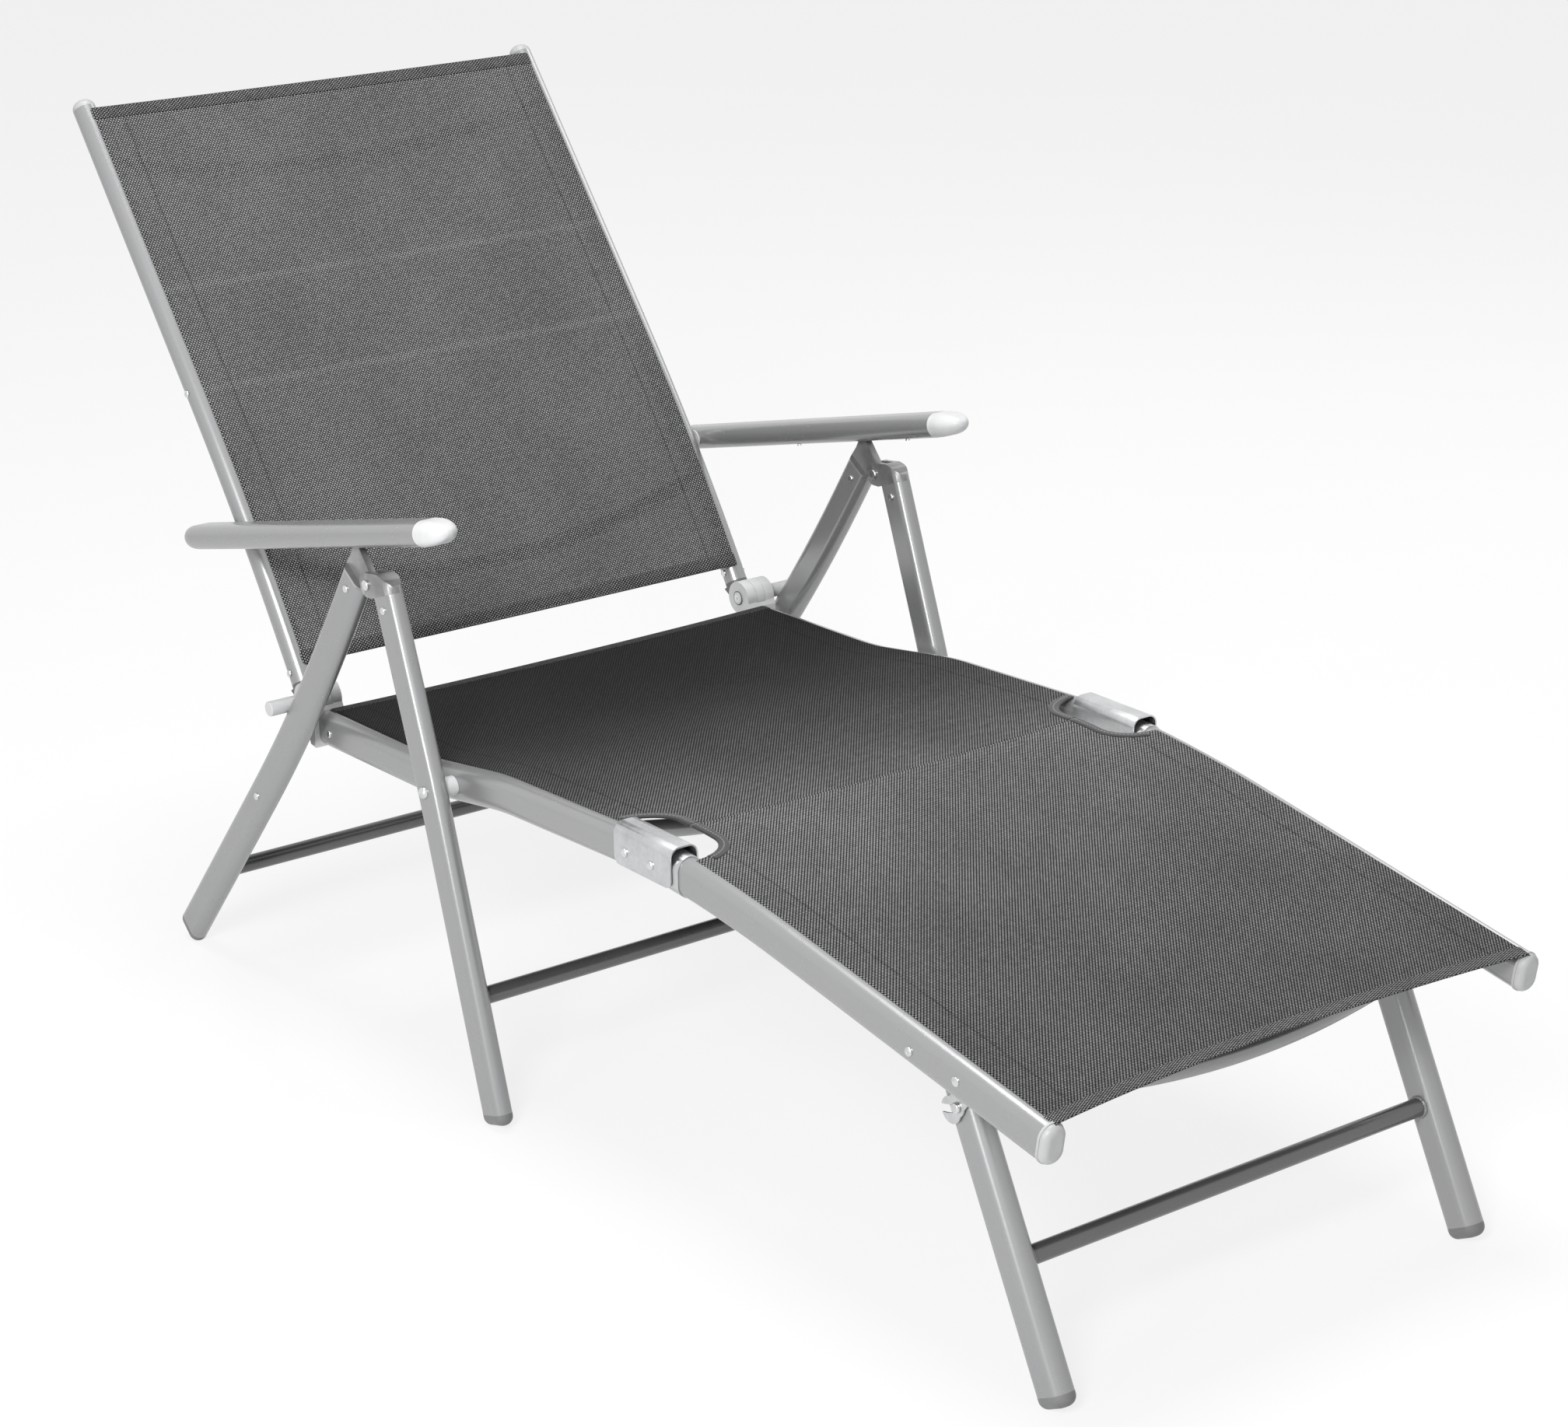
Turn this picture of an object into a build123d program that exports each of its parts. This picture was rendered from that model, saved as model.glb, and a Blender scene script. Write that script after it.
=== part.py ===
from build123d import *
import os
from math import asin, atan2, cos, degrees, hypot, pi, radians, sin, sqrt, tan

# Folding sun lounger, millimetres, +Z up, head end towards +Y, occupant's left towards +X.
# Side view places are (y, z) pairs. They are set out from the rear edge of the seat, and the
# whole lounger is moved at the end so that its origin is the middle of its footprint.

# Tubes
rail_height = 38.0
rail_width = 25.0
leg_depth = 38.0
leg_width = 20.0
foot_leg_depth = 38.0
foot_leg_width = 25.0
back_tube_diameter = 25.0
cross_tube_diameter = 18.0
spreader_diameter = 18.0
tube_wall = 1.5

# Spacing across the lounger: the rails' middle lines, and the gaps between neighbouring tubes
rail_half_spacing = 281.0
leg_side_gap = 13.5
foot_leg_side_gap = 7.0
arm_inset = 2.0

# Clearances
running_gap = 0.3
pin_clearance = 0.1
seat_gap = 0.2
overrun = 5.0
bead = 0.6

# Seat rails: rear end, two gentle bends, knee pivot
seat_rail_rear = (2.0, 312.6)
seat_rail_dip = (-200.0, 317.2)
seat_rail_crest = (-335.0, 337.4)
seat_bend_radius = 400.0
knee_pivot = (-558.2, 347.5)

# Knee link: two pivots in one bracket
knee_end_gap = 3.4
knee_pivot_spacing = rail_height + knee_end_gap
foot_pivot = (knee_pivot[0] - knee_pivot_spacing, knee_pivot[1])
sleeve_wall = 1.2
sleeve_length = 40.0
bracket_wall = 1.6
bracket_side_gap = 0.5
bracket_top_gap = 3.2
bracket_rear_reach = 17.0
bracket_front_reach = 31.0
bracket_skirt = 14.5
bracket_shoulder_radius = 9.0
bracket_corner_radius = 8.0
rivet_diameter = 6.0
rivet_head_diameter = 9.0
rivet_head_height = 2.0
rivet_head_round = 1.6

# Foot rails: bend corner, slope and end
foot_rail_corner = (-700.0, 341.3)
foot_rail_slope = 9.6
foot_bend_radius = 1700.0
foot_rail_end_y = -1134.0
end_cap_lip = 2.5
end_cap_lip_overhang = 0.8
end_cap_dome = 7.0
end_cap_round = 6.5
plug_length = 28.0

# Front legs: floor point, lean and the bolt through the seat rail
front_leg_floor_y = -356.9
front_leg_lean = 73.1
front_leg_top_lean = 70.3
front_leg_bend_radius = 1200.0
seat_bolt_height = 326.0
front_leg_top_drop = 6.0
front_crossbar_height = 125.0

# Rear legs: floor point, lean of the lower and of the upper stretch
rear_leg_floor_y = 278.6
rear_leg_lean = 48.9
rear_leg_top_lean = 56.5
rear_leg_top_drop = 1.8
rear_leg_corner_share = 0.66479
rear_leg_bend_share = 0.7706
rear_crossbar_height = 105.0
rear_leg_rivet_height = 222.4
leg_pivot = (-166.2, 516.4)

# Foot legs
foot_leg_floor_y = -1119.0
foot_leg_lean = 63.0
foot_leg_pivot_height = 293.0
foot_crossbar_height = 118.5
foot_leg_fixing_shoulder = 14.0

# Domed plastic feet
foot_cap_height = 12.0
foot_cap_round = 9.0
foot_flat_depth = 1.0

# Back frame
back_rail_lower = (57.3, 357.2)
back_rail_corner = (138.4, 489.0)
back_rail_top = (461.0, 893.7)
back_bend_radius = 2500.0
back_rail_set_back = 10.0
back_cap_length = 10.0
back_cap_round = 9.0
back_bow_upper_distance = 70.0
back_bow_upper_depth = 33.0
back_bow_upper_tilt = 32.0
back_bow_lower_distance = 553.0
back_bow_lower_depth = 45.0
back_bow_lower_tilt = 60.0
back_rivet_distance = 12.0
back_screw_distance = 347.0

# Disc hinge between seat and back, with the rod that rests on the rear leg
hinge_rise = 26.7
hinge_disc_diameter = 37.0
hinge_ring_width = 12.0
hinge_axle_diameter = 8.0
stop_rod_diameter = 15.8
stop_rod_length = 41.0
hinge_head_diameter = 14.0
hinge_head_height = 2.0
hinge_swing_gap = 0.5
hinge_collar = 4.0
hinge_rib_share = 0.9
hinge_web_share = 0.7

# Armrests: drop of their pivot below the legs' pivot, tilt, and lengths from the pivot
arm_width = 40.0
arm_height = 26.0
arm_pivot_drop = 23.4
arm_tilt = 13.3
arm_front_length = 430.0
arm_rear_length = 37.0
arm_front_dome = 38.0
arm_rear_dome = 30.0
arm_dome_angles = (0, 18, 36, 52, 66, 77, 85)
arm_bush_diameter = 20.0
arm_bolt_diameter = 8.0
arm_bolt_head_diameter = 14.0
arm_bolt_head_height = 3.0
arm_nut_diameter = 13.0
arm_nut_height = 5.0
arm_nut_set_in = 2.3
arm_slot_start = 230.0
arm_slot_width = 11.0
rack_start = 172.0
rack_front_set_back = 12.0
rack_width = 18.0
rack_inset = 3.5
rack_height = 9.0
rack_tooth_depth = 4.0
rack_tooth_pitch = 26.0
rack_tooth_slot = 11.0
rack_screw_rear = 184.0
rack_screw_front_set_back = 51.0
rack_screw_offset = 8.0
rack_screw_diameter = 3.0
rack_screw_head_diameter = 5.0
rack_screw_head_height = 1.5
rack_screw_bite = 4.0

# Leg tops: fork on the front leg, tongue on the rear leg
fork_slot_width = 8.8
fork_slot_radius = 22.0
fork_ear_radius = 12.5
tongue_thickness = 7.4
tongue_ear_radius = 11.0
tongue_collar = 3.5
tongue_reach = (26.7, 35.6)
pivot_pin_diameter = 6.0
pivot_head_diameter = 11.0
pivot_head_height = 2.5
fixing_rivet_diameter = 5.0
fixing_head_diameter = 8.0
fixing_head_height = 1.8
fixing_head_round = 1.4
fixing_rivet_depth = 14.0

# Seat bolts and spacers
seat_bolt_diameter = 8.0
seat_bolt_head_diameter = 13.0
seat_bolt_head_height = 4.5
spacer_diameter = 20.0
fork_screw_inset = 19.8

# Stop plates that the foot leg studs rest in
plate_thickness = 2.0
plate_stand_off = 1.1
plate_fixing = (-1031.0, 287.5)
plate_boss_radius = 9.0
plate_strip_width = 19.0
plate_lobe = (-990.0, 238.0)
plate_lobe_radius = 12.5
plate_heel_radius = 8.5
stud = (-998.0, 243.0)
stud_diameter = 6.0
stud_head_diameter = 10.0
stud_head_height = 3.0
stud_clearance = 0.7

# Seat spreaders and foot spreader
seat_bow_rear_y = -32.0
seat_bow_rear_depth = 20.0
seat_bow_knee_y = -500.0
seat_bow_knee_depth = 30.0
foot_bow_y = -1055.0
foot_bow_depth = 38.0
foot_bow_tilt = 41.0

# Slings
sling_thickness = 1.4
sling_lift = 0.4
sling_inset = 4.0
seat_sling_rear = 0.0
foot_sling_front = -1122.0
back_sling_lower_distance = 669.0
back_sling_upper_distance = 6.0
cutout_rear = -525.0
cutout_front = -652.0
cutout_depth = 45.0
cutout_round = 24.0


def unit(direction):
    """Side view direction of length one."""
    size = hypot(direction[0], direction[1])
    return (direction[0] / size, direction[1] / size)


def along(start, direction, distance):
    """Side view place a distance from a start."""
    return (start[0] + distance * direction[0], start[1] + distance * direction[1])


def between(first, second):
    """Side view direction from one place to another."""
    return unit((second[0] - first[0], second[1] - first[1]))


def heading(angle):
    """Side view direction at an angle above +Y, in degrees."""
    return (cos(radians(angle)), sin(radians(angle)))


def left_of(direction):
    """Side view direction a quarter turn further round."""
    return (-direction[1], direction[0])


def turned(place, pivot, angle):
    """Side view place turned about a pivot, in degrees from +Y to +Z."""
    y = place[0] - pivot[0]
    z = place[1] - pivot[1]
    c = cos(radians(angle))
    s = sin(radians(angle))
    return (pivot[0] + y * c - z * s, pivot[1] + y * s + z * c)


def oval(long_side, short_side):
    """Flat-sided oval with its long side in the side view."""
    return Rot(0, 0, 90) * SlotOverall(long_side, short_side)


def oval_ring(long_side, short_side, wall):
    """Wall of an oval tube."""
    return oval(long_side, short_side) - oval(long_side - 2 * wall, short_side - 2 * wall)


def run(section, path):
    """Section carried along a side view path, its own x staying across the lounger."""
    start = Plane(origin=path @ 0, x_dir=(1, 0, 0), z_dir=path % 0)
    return sweep(start * section, path=path)


def straight(section, x, start, end):
    """Section carried in a straight run between two side view places."""
    return run(section, Line((x, *start), (x, *end)))


def bent_path(x, places, radius):
    """Side view path with its corners rounded, by one radius or one for each corner."""
    return FilletPolyline(*[(x, *place) for place in places], radius=radius)


def pin(place, x_from, x_to, diameter):
    """Round bar across the lounger."""
    return extrude(Plane.YZ.offset(x_from) * Pos(*place) * Circle(diameter / 2), x_to - x_from)


def plate(outline, x_from, x_to):
    """Side view outline given a thickness across the lounger."""
    return extrude(Plane.YZ.offset(x_from) * outline, x_to - x_from)


def outline_of(places):
    """Closed side view outline through straight sides."""
    return make_face(Polyline(*places, close=True))


def disc(place, radius):
    """Round side view outline."""
    return Pos(*place) * Circle(radius)


def domed(place, x_from, x_to, diameter, round_radius):
    """Round head whose far rim is rounded."""
    head = pin(place, min(x_from, x_to), max(x_from, x_to), diameter)
    rims = head.edges().filter_by(GeomType.CIRCLE).sort_by(Axis.X)
    rim = rims[-1] if x_to > x_from else rims[0]
    return fillet(rim, round_radius)


def rivet(place, x_inner, x_outer, diameter, head_diameter, head_height, head_round):
    """Shank with a domed head at each end, the heads outside the two faces."""
    shank = pin(place, x_inner - head_height / 2, x_outer + head_height / 2, diameter)
    outer = domed(place, x_outer, x_outer + head_height, head_diameter, head_round)
    inner = domed(place, x_inner, x_inner - head_height, head_diameter, head_round)
    return shank + outer + inner


def other_side(piece):
    """The same piece on the right of the lounger."""
    return mirror(piece, about=Plane.YZ)


def round_end(tube, pivot, direction, x, width, depth):
    """Cut a tube's end to a half round about its pivot, as seen from the side."""
    half = depth / 2
    across = left_of(direction)
    far = along(pivot, direction, half + overrun)
    block = outline_of([
        along(pivot, across, half + overrun),
        along(far, across, half + overrun),
        along(far, across, -half - overrun),
        along(pivot, across, -half - overrun),
    ])
    waste = block - disc(pivot, half)
    return tube - plate(waste, x - width, x + width)


def cap(end, direction, x, depth, width, height, round_radius, lip, overhang):
    """Domed plug: its plug sits in the tube and its dome closes the end."""
    inner_depth = depth - 2 * tube_wall - 2 * seat_gap
    inner_width = width - 2 * tube_wall - 2 * seat_gap
    plug = straight(oval(inner_depth, inner_width), x, along(end, direction, -plug_length), end)
    tip = along(end, direction, height)
    dome = straight(oval(depth + 2 * overhang, width + 2 * overhang), x, end, tip)
    face = dome.faces().sort_by(Axis((x, *end), (0, *direction)))[-1]
    dome = fillet(face.edges(), round_radius)
    return dome + plug


def standing_cap(end, direction, x, depth, width):
    """Domed foot, cut flat where it stands."""
    foot = cap(end, direction, x, depth, width, foot_cap_height, foot_cap_round, 0, 0)
    reach = foot_cap_height + depth
    below = Pos(x, end[0], -reach / 2) * Box(2 * reach, 4 * reach, reach)
    return foot - below


def seam_height(lean, depth):
    """Height of a leg tube's lower end that puts its domed foot on the ground."""
    drop = (foot_cap_height - foot_cap_round) * sin(radians(lean))
    side = (depth / 2 - foot_cap_round) * cos(radians(lean))
    return drop + side + foot_cap_round - foot_flat_depth


# Worked out places
rail_x = rail_half_spacing
leg_x = rail_x + rail_width / 2 + leg_side_gap + leg_width / 2
foot_leg_x = rail_x - rail_width / 2 - foot_leg_side_gap - foot_leg_width / 2
arm_half_spacing = leg_x - arm_inset
rail_inner = rail_x - rail_width / 2
rail_outer = rail_x + rail_width / 2
leg_inner = leg_x - leg_width / 2
leg_outer = leg_x + leg_width / 2
foot_leg_inner = foot_leg_x - foot_leg_width / 2
foot_leg_outer = foot_leg_x + foot_leg_width / 2

seat_direction = between(seat_rail_crest, knee_pivot)
seat_rail_end = along(knee_pivot, seat_direction, rail_height / 2)
foot_direction = between(foot_pivot, foot_rail_corner)
foot_rail_start = along(foot_pivot, foot_direction, -rail_height / 2)
foot_rail_direction = heading(180 + foot_rail_slope)
foot_rail_run = (foot_rail_corner[0] - foot_rail_end_y) / cos(radians(foot_rail_slope))
foot_rail_end = along(foot_rail_corner, foot_rail_direction, foot_rail_run)

front_up = heading(front_leg_lean)
front_top_up = heading(front_leg_top_lean)
front_leg_floor = (front_leg_floor_y, 0.0)
front_leg_top_height = leg_pivot[1] - front_leg_top_drop
rear_leg_top_height = leg_pivot[1] - rear_leg_top_drop
tongue_tip = (leg_pivot[0] + tongue_reach[0], leg_pivot[1] + tongue_reach[1])
seat_bolt = along(front_leg_floor, front_up, seat_bolt_height / front_up[1])
front_seam = along(front_leg_floor, front_up, seam_height(front_leg_lean, leg_depth) / front_up[1])
front_leg_top = along(seat_bolt, front_top_up, (front_leg_top_height - seat_bolt_height) / front_top_up[1])
front_crossbar_place = along(front_leg_floor, front_up, front_crossbar_height / front_up[1])

rear_up = heading(180 - rear_leg_lean)
rear_top_up = heading(180 - rear_leg_top_lean)
rear_leg_floor = (rear_leg_floor_y, 0.0)
rear_seam = along(rear_leg_floor, rear_up, seam_height(rear_leg_lean, leg_depth) / rear_up[1])
rear_leg_corner_height = rear_leg_top_height * rear_leg_corner_share
rear_corner = along(rear_leg_floor, rear_up, rear_leg_corner_height / rear_up[1])
rear_top_run = (rear_leg_top_height - rear_leg_corner_height) / rear_top_up[1]
rear_leg_top = along(rear_corner, rear_top_up, rear_top_run)
rear_crossbar_place = along(rear_leg_floor, rear_up, rear_crossbar_height / rear_up[1])
rear_rivet_place = along(rear_leg_floor, rear_up, rear_leg_rivet_height / rear_up[1])

foot_up = heading(foot_leg_lean)
foot_leg_floor = (foot_leg_floor_y, 0.0)
foot_leg_seam = along(foot_leg_floor, foot_up, seam_height(foot_leg_lean, foot_leg_depth) / foot_up[1])
foot_leg_pivot = along(foot_leg_floor, foot_up, foot_leg_pivot_height / foot_up[1])
foot_leg_end = along(foot_leg_pivot, foot_up, foot_leg_depth / 2)
foot_crossbar_place = along(foot_leg_floor, foot_up, foot_crossbar_height / foot_up[1])

# The stop rod lies on the rear leg's upper face, which fixes the hinge axis
rear_bend_reach = rear_top_run * rear_leg_bend_share
rear_leg_bend_radius = rear_bend_reach / tan(radians((rear_leg_top_lean - rear_leg_lean) / 2))
rear_bend_start = along(rear_corner, rear_up, -rear_bend_reach)
rear_bend_centre = along(rear_bend_start, left_of(rear_up), -rear_leg_bend_radius)
rod_circle = rear_leg_bend_radius - leg_depth / 2 - stop_rod_diameter / 2 - running_gap
hinge_height = seat_rail_rear[1] + hinge_rise
hinge_drop = hinge_height - rear_bend_centre[1]
hinge = (rear_bend_centre[0] - sqrt(rod_circle**2 - hinge_drop**2), hinge_height)
rack_end = arm_front_length - rack_front_set_back

back_lower_up = between(back_rail_lower, back_rail_corner)
back_upper_up = between(back_rail_corner, back_rail_top)
back_rail_foot = along(back_rail_lower, back_lower_up, -back_rail_set_back)
back_bend = back_lower_up[1] * back_upper_up[0] - back_lower_up[0] * back_upper_up[1]
back_bend_reach = back_bend_radius * tan(asin(back_bend) / 2)
back_bend_top = along(back_rail_corner, back_upper_up, back_bend_reach)
back_bend_centre = along(back_bend_top, left_of(back_upper_up), -back_bend_radius)
arm_pivot_height = leg_pivot[1] - arm_pivot_drop
arm_rise = arm_pivot_height - back_bend_centre[1]
arm_pivot = (back_bend_centre[0] - sqrt(back_bend_radius**2 - arm_rise**2), arm_pivot_height)


back_top_run = hypot(back_rail_top[0] - back_bend_top[0], back_rail_top[1] - back_bend_top[1])


def back_place(distance):
    """Place on the back rail's middle line, a distance down from its top, and its direction."""
    down = (-back_upper_up[0], -back_upper_up[1])
    if distance <= back_top_run:
        return along(back_rail_top, down, distance), down
    turn = degrees((distance - back_top_run) / back_bend_radius)
    place = turned(back_bend_top, back_bend_centre, turn)
    return place, turned(down, (0.0, 0.0), turn)


def seat_rail_place(y):
    """Place on the seat rail's middle line, with the bends left sharp."""
    rear, front = (seat_rail_rear, seat_rail_dip) if y > seat_rail_dip[0] else (seat_rail_crest, knee_pivot)
    share = (y - rear[0]) / (front[0] - rear[0])
    return (y, rear[1] + share * (front[1] - rear[1]))


def foot_rail_place(y):
    """Place on the foot rail's straight stretch."""
    return along(foot_rail_corner, foot_rail_direction, (foot_rail_corner[0] - y) / cos(radians(foot_rail_slope)))


def seat_path(x, rear, front):
    """Seat rail path between two ends."""
    return bent_path(x, [rear, seat_rail_dip, seat_rail_crest, front], seat_bend_radius)


def bow(place, depth, direction, x_end, diameter):
    """Bowed spreader tube between the two rails, its ends trimmed flat against them."""
    x_far = x_end + overrun
    rise = depth * (1 - (x_far / x_end) ** 2)
    middle = along(place, direction, depth)
    tip = along(place, direction, rise)
    path = ThreePointArc((-x_far, *tip), (0, *middle), (x_far, *tip))
    start = Plane(origin=path @ 0, z_dir=path % 0)
    section = Circle(diameter / 2) - Circle(diameter / 2 - tube_wall)
    tube = sweep(start * section, path=path)
    reach = 4 * depth + 4 * diameter
    return tube & Pos(0, *place) * Box(2 * x_end, reach, reach)


def crossbar(place, x_end):
    """Straight round tube between two legs."""
    return pin(place, -x_end, x_end, cross_tube_diameter) - pin(
        place, -x_end - overrun, x_end + overrun, cross_tube_diameter - 2 * tube_wall
    )


def seat_rail():
    """Left seat rail with its knee end, bolt, screw and knee pivot holes."""
    tube = run(oval_ring(rail_height, rail_width, tube_wall), seat_path(rail_x, seat_rail_rear, seat_rail_end))
    tube = round_end(tube, knee_pivot, seat_direction, rail_x, rail_width, rail_height)
    span = (rail_inner - overrun, rail_outer + overrun)
    tube -= pin(knee_pivot, *span, rivet_diameter + 2 * pin_clearance)
    tube -= pin(seat_bolt, *span, seat_bolt_diameter + 2 * pin_clearance)
    tube -= pin(fork_screw_place, *span, fixing_rivet_diameter + 2 * pin_clearance)
    return tube


def foot_rail_path():
    """Left foot rail's path."""
    return bent_path(rail_x, [foot_rail_start, foot_rail_corner, foot_rail_end], foot_bend_radius)


def foot_rail():
    """Left foot rail with its knee end and the holes for its rivets."""
    tube = run(oval_ring(rail_height, rail_width, tube_wall), foot_rail_path())
    backwards = (-foot_direction[0], -foot_direction[1])
    tube = round_end(tube, foot_pivot, backwards, rail_x, rail_width, rail_height)
    span = (rail_inner - overrun, rail_outer + overrun)
    tube -= pin(foot_pivot, *span, rivet_diameter + 2 * pin_clearance)
    tube -= pin(foot_leg_pivot, *span, rivet_diameter + 2 * pin_clearance)
    tube -= pin(plate_fixing, *span, fixing_rivet_diameter + 2 * pin_clearance)
    return tube


def knee_sleeve():
    """Thin sleeve round the foot rail's end, inside the knee bracket."""
    outer = oval(rail_height + 2 * sleeve_wall, rail_width + 2 * sleeve_wall)
    bore = oval(rail_height + 2 * pin_clearance, rail_width + 2 * pin_clearance)
    sleeve = run(outer - bore, foot_rail_path())
    size = 2 * rail_height
    sleeve &= Pos(rail_x, foot_pivot[0] - sleeve_length / 2, foot_pivot[1]) * Box(size, sleeve_length, size)
    return sleeve - pin(foot_pivot, rail_inner - overrun, rail_outer + overrun, rivet_diameter + 2 * pin_clearance)


def knee_bracket():
    """Folded zinc channel over the two rail ends, open below."""
    inner_half = rail_width / 2 + sleeve_wall + bracket_side_gap
    outer_half = inner_half + bracket_wall
    inner_top = rail_height / 2 + sleeve_wall + bracket_top_gap
    outer_top = inner_top + bracket_wall
    length = bracket_rear_reach + knee_pivot_spacing + bracket_front_reach

    def arch(half, top, shoulder):
        body = Pos(0, (top - bracket_skirt) / 2) * Rectangle(2 * half, top + bracket_skirt)
        corners = body.vertices().sort_by(Axis.Y)[-2:]
        return fillet(corners, shoulder)

    outer = arch(outer_half, outer_top, bracket_shoulder_radius + bracket_wall)
    inner = arch(inner_half, inner_top, bracket_shoulder_radius)
    inner += Pos(0, -bracket_skirt) * Rectangle(2 * inner_half, 2 * overrun)
    front = Plane(origin=(rail_x, foot_pivot[0] - bracket_front_reach, knee_pivot[1]), x_dir=(1, 0, 0), z_dir=(0, 1, 0))
    flipped = mirror(outer - inner, about=Plane.XZ)
    channel = extrude(front * flipped, length)
    corners = channel.edges().filter_by(Axis.X).group_by(Axis.Z)[0]
    channel = fillet(corners, bracket_corner_radius)
    for place in (knee_pivot, foot_pivot):
        channel -= pin(place, rail_x - outer_half - overrun, rail_x + outer_half + overrun, rivet_diameter)
    return channel


def knee_rivets():
    """Two pivot rivets through bracket and rails."""
    half = rail_width / 2 + sleeve_wall + bracket_side_gap + bracket_wall
    return [
        rivet(place, rail_x - half, rail_x + half, rivet_diameter, rivet_head_diameter, rivet_head_height,
              rivet_head_round)
        for place in (knee_pivot, foot_pivot)
    ]


def foot_end_cap():
    """Domed plug in the foot rail's open end, with a thin lip round the tube's edge."""
    inner_depth = rail_height - 2 * tube_wall - 2 * seat_gap
    inner_width = rail_width - 2 * tube_wall - 2 * seat_gap
    start = along(foot_rail_end, foot_rail_direction, -plug_length)
    lip_end = along(foot_rail_end, foot_rail_direction, end_cap_lip)
    tip = along(lip_end, foot_rail_direction, end_cap_dome)
    plug = straight(oval(inner_depth, inner_width), rail_x, start, foot_rail_end)
    lip_section = oval(rail_height + 2 * end_cap_lip_overhang, rail_width + 2 * end_cap_lip_overhang)
    lip = straight(lip_section, rail_x, foot_rail_end, lip_end)
    dome = straight(oval(rail_height, rail_width), rail_x, lip_end, tip)
    face = dome.faces().sort_by(Axis((rail_x, *lip_end), (0, *foot_rail_direction)))[-1]
    dome = fillet(face.edges(), end_cap_round)
    return plug + lip + dome


fork_screw_place = (seat_rail_rear[0] - fork_screw_inset, seat_rail_place(seat_rail_rear[0] - fork_screw_inset)[1])
ring_inner = rail_x - 1.5 * hinge_ring_width
ring_outer = rail_x + 1.5 * hinge_ring_width
middle_inner = rail_x - hinge_ring_width / 2
middle_outer = rail_x + hinge_ring_width / 2
disc_radius = hinge_disc_diameter / 2


def hinge_fork():
    """Plastic elbow plugged into the seat rail, ending in two rings of the disc hinge."""
    half = rail_height / 2
    rear = seat_rail_rear
    across = left_of(between(seat_rail_dip, seat_rail_rear))
    elbow = outline_of([
        along(rear, across, half),
        along(hinge, heading(120), disc_radius),
        along(hinge, heading(0), 0),
        along(hinge, heading(-100), disc_radius),
        (rear[0] + half / 2, rear[1] - half * hinge_rib_share),
        along(rear, across, -half),
    ])
    body = plate(elbow + disc(hinge, disc_radius), ring_inner, ring_outer)
    swing = disc_radius + hinge_swing_gap
    body -= plate(disc(hinge, swing), middle_inner, middle_outer)
    body -= pin(hinge, ring_inner - overrun, ring_outer + overrun, hinge_axle_diameter + 2 * pin_clearance)
    inner_depth = rail_height - 2 * tube_wall - 2 * seat_gap
    inner_width = rail_width - 2 * tube_wall - 2 * seat_gap
    inwards = between(seat_rail_rear, seat_rail_dip)
    plug = straight(oval(inner_depth, inner_width), rail_x, along(rear, inwards, plug_length + half), rear)
    plug -= pin(fork_screw_place, rail_inner, rail_outer, fixing_rivet_diameter + 2 * pin_clearance)
    return body + plug


def fork_screw():
    """Screw through seat rail and fork plug."""
    return rivet(fork_screw_place, rail_inner, rail_outer, fixing_rivet_diameter, fixing_head_diameter,
                 fixing_head_height, fixing_head_round)


def stop_rod():
    """Hinge axle that carries on outwards as the rod lying on the rear leg."""
    axle = pin(hinge, ring_inner - hinge_head_height / 2, ring_outer + overrun, hinge_axle_diameter)
    head = domed(hinge, ring_inner, ring_inner - hinge_head_height, hinge_head_diameter, hinge_head_height / 2)
    sleeve = domed(hinge, ring_outer, ring_outer + stop_rod_length, stop_rod_diameter, tube_wall)
    return axle + head + sleeve


def hinge_arm():
    """Middle ring of the disc hinge, with the socket that carries the back rail."""
    rail_down = (-back_lower_up[0], -back_lower_up[1])
    collar_end = along(back_rail_foot, rail_down, hinge_collar)
    out = between(hinge, collar_end)
    half = back_tube_diameter / 2
    side = left_of(back_lower_up)
    web = outline_of([
        along(hinge, left_of(out), disc_radius * hinge_rib_share),
        along(collar_end, side, half * hinge_web_share),
        along(collar_end, side, -half * hinge_web_share),
        along(hinge, left_of(out), -disc_radius * hinge_rib_share),
    ])
    body = plate(web + disc(hinge, disc_radius), rail_x - half, rail_x + half)
    swing = disc_radius + hinge_swing_gap
    for x_from, x_to in ((ring_inner, middle_inner + running_gap), (middle_outer - running_gap, ring_outer)):
        body -= plate(disc(hinge, swing), x_from, x_to)
    collar = straight(Circle(half), rail_x, collar_end, back_rail_foot)
    plug_radius = half - tube_wall - seat_gap
    plug = straight(Circle(plug_radius), rail_x, back_rail_foot, along(back_rail_foot, back_lower_up, plug_length))
    arm = body + collar + plug
    arm -= pin(hinge, ring_inner, ring_outer, hinge_axle_diameter + 2 * pin_clearance)
    return arm - pin(back_rivet_place, rail_inner, rail_outer, fixing_rivet_diameter + 2 * pin_clearance)


back_rivet_place = along(back_rail_foot, back_lower_up, back_rivet_distance)


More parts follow.
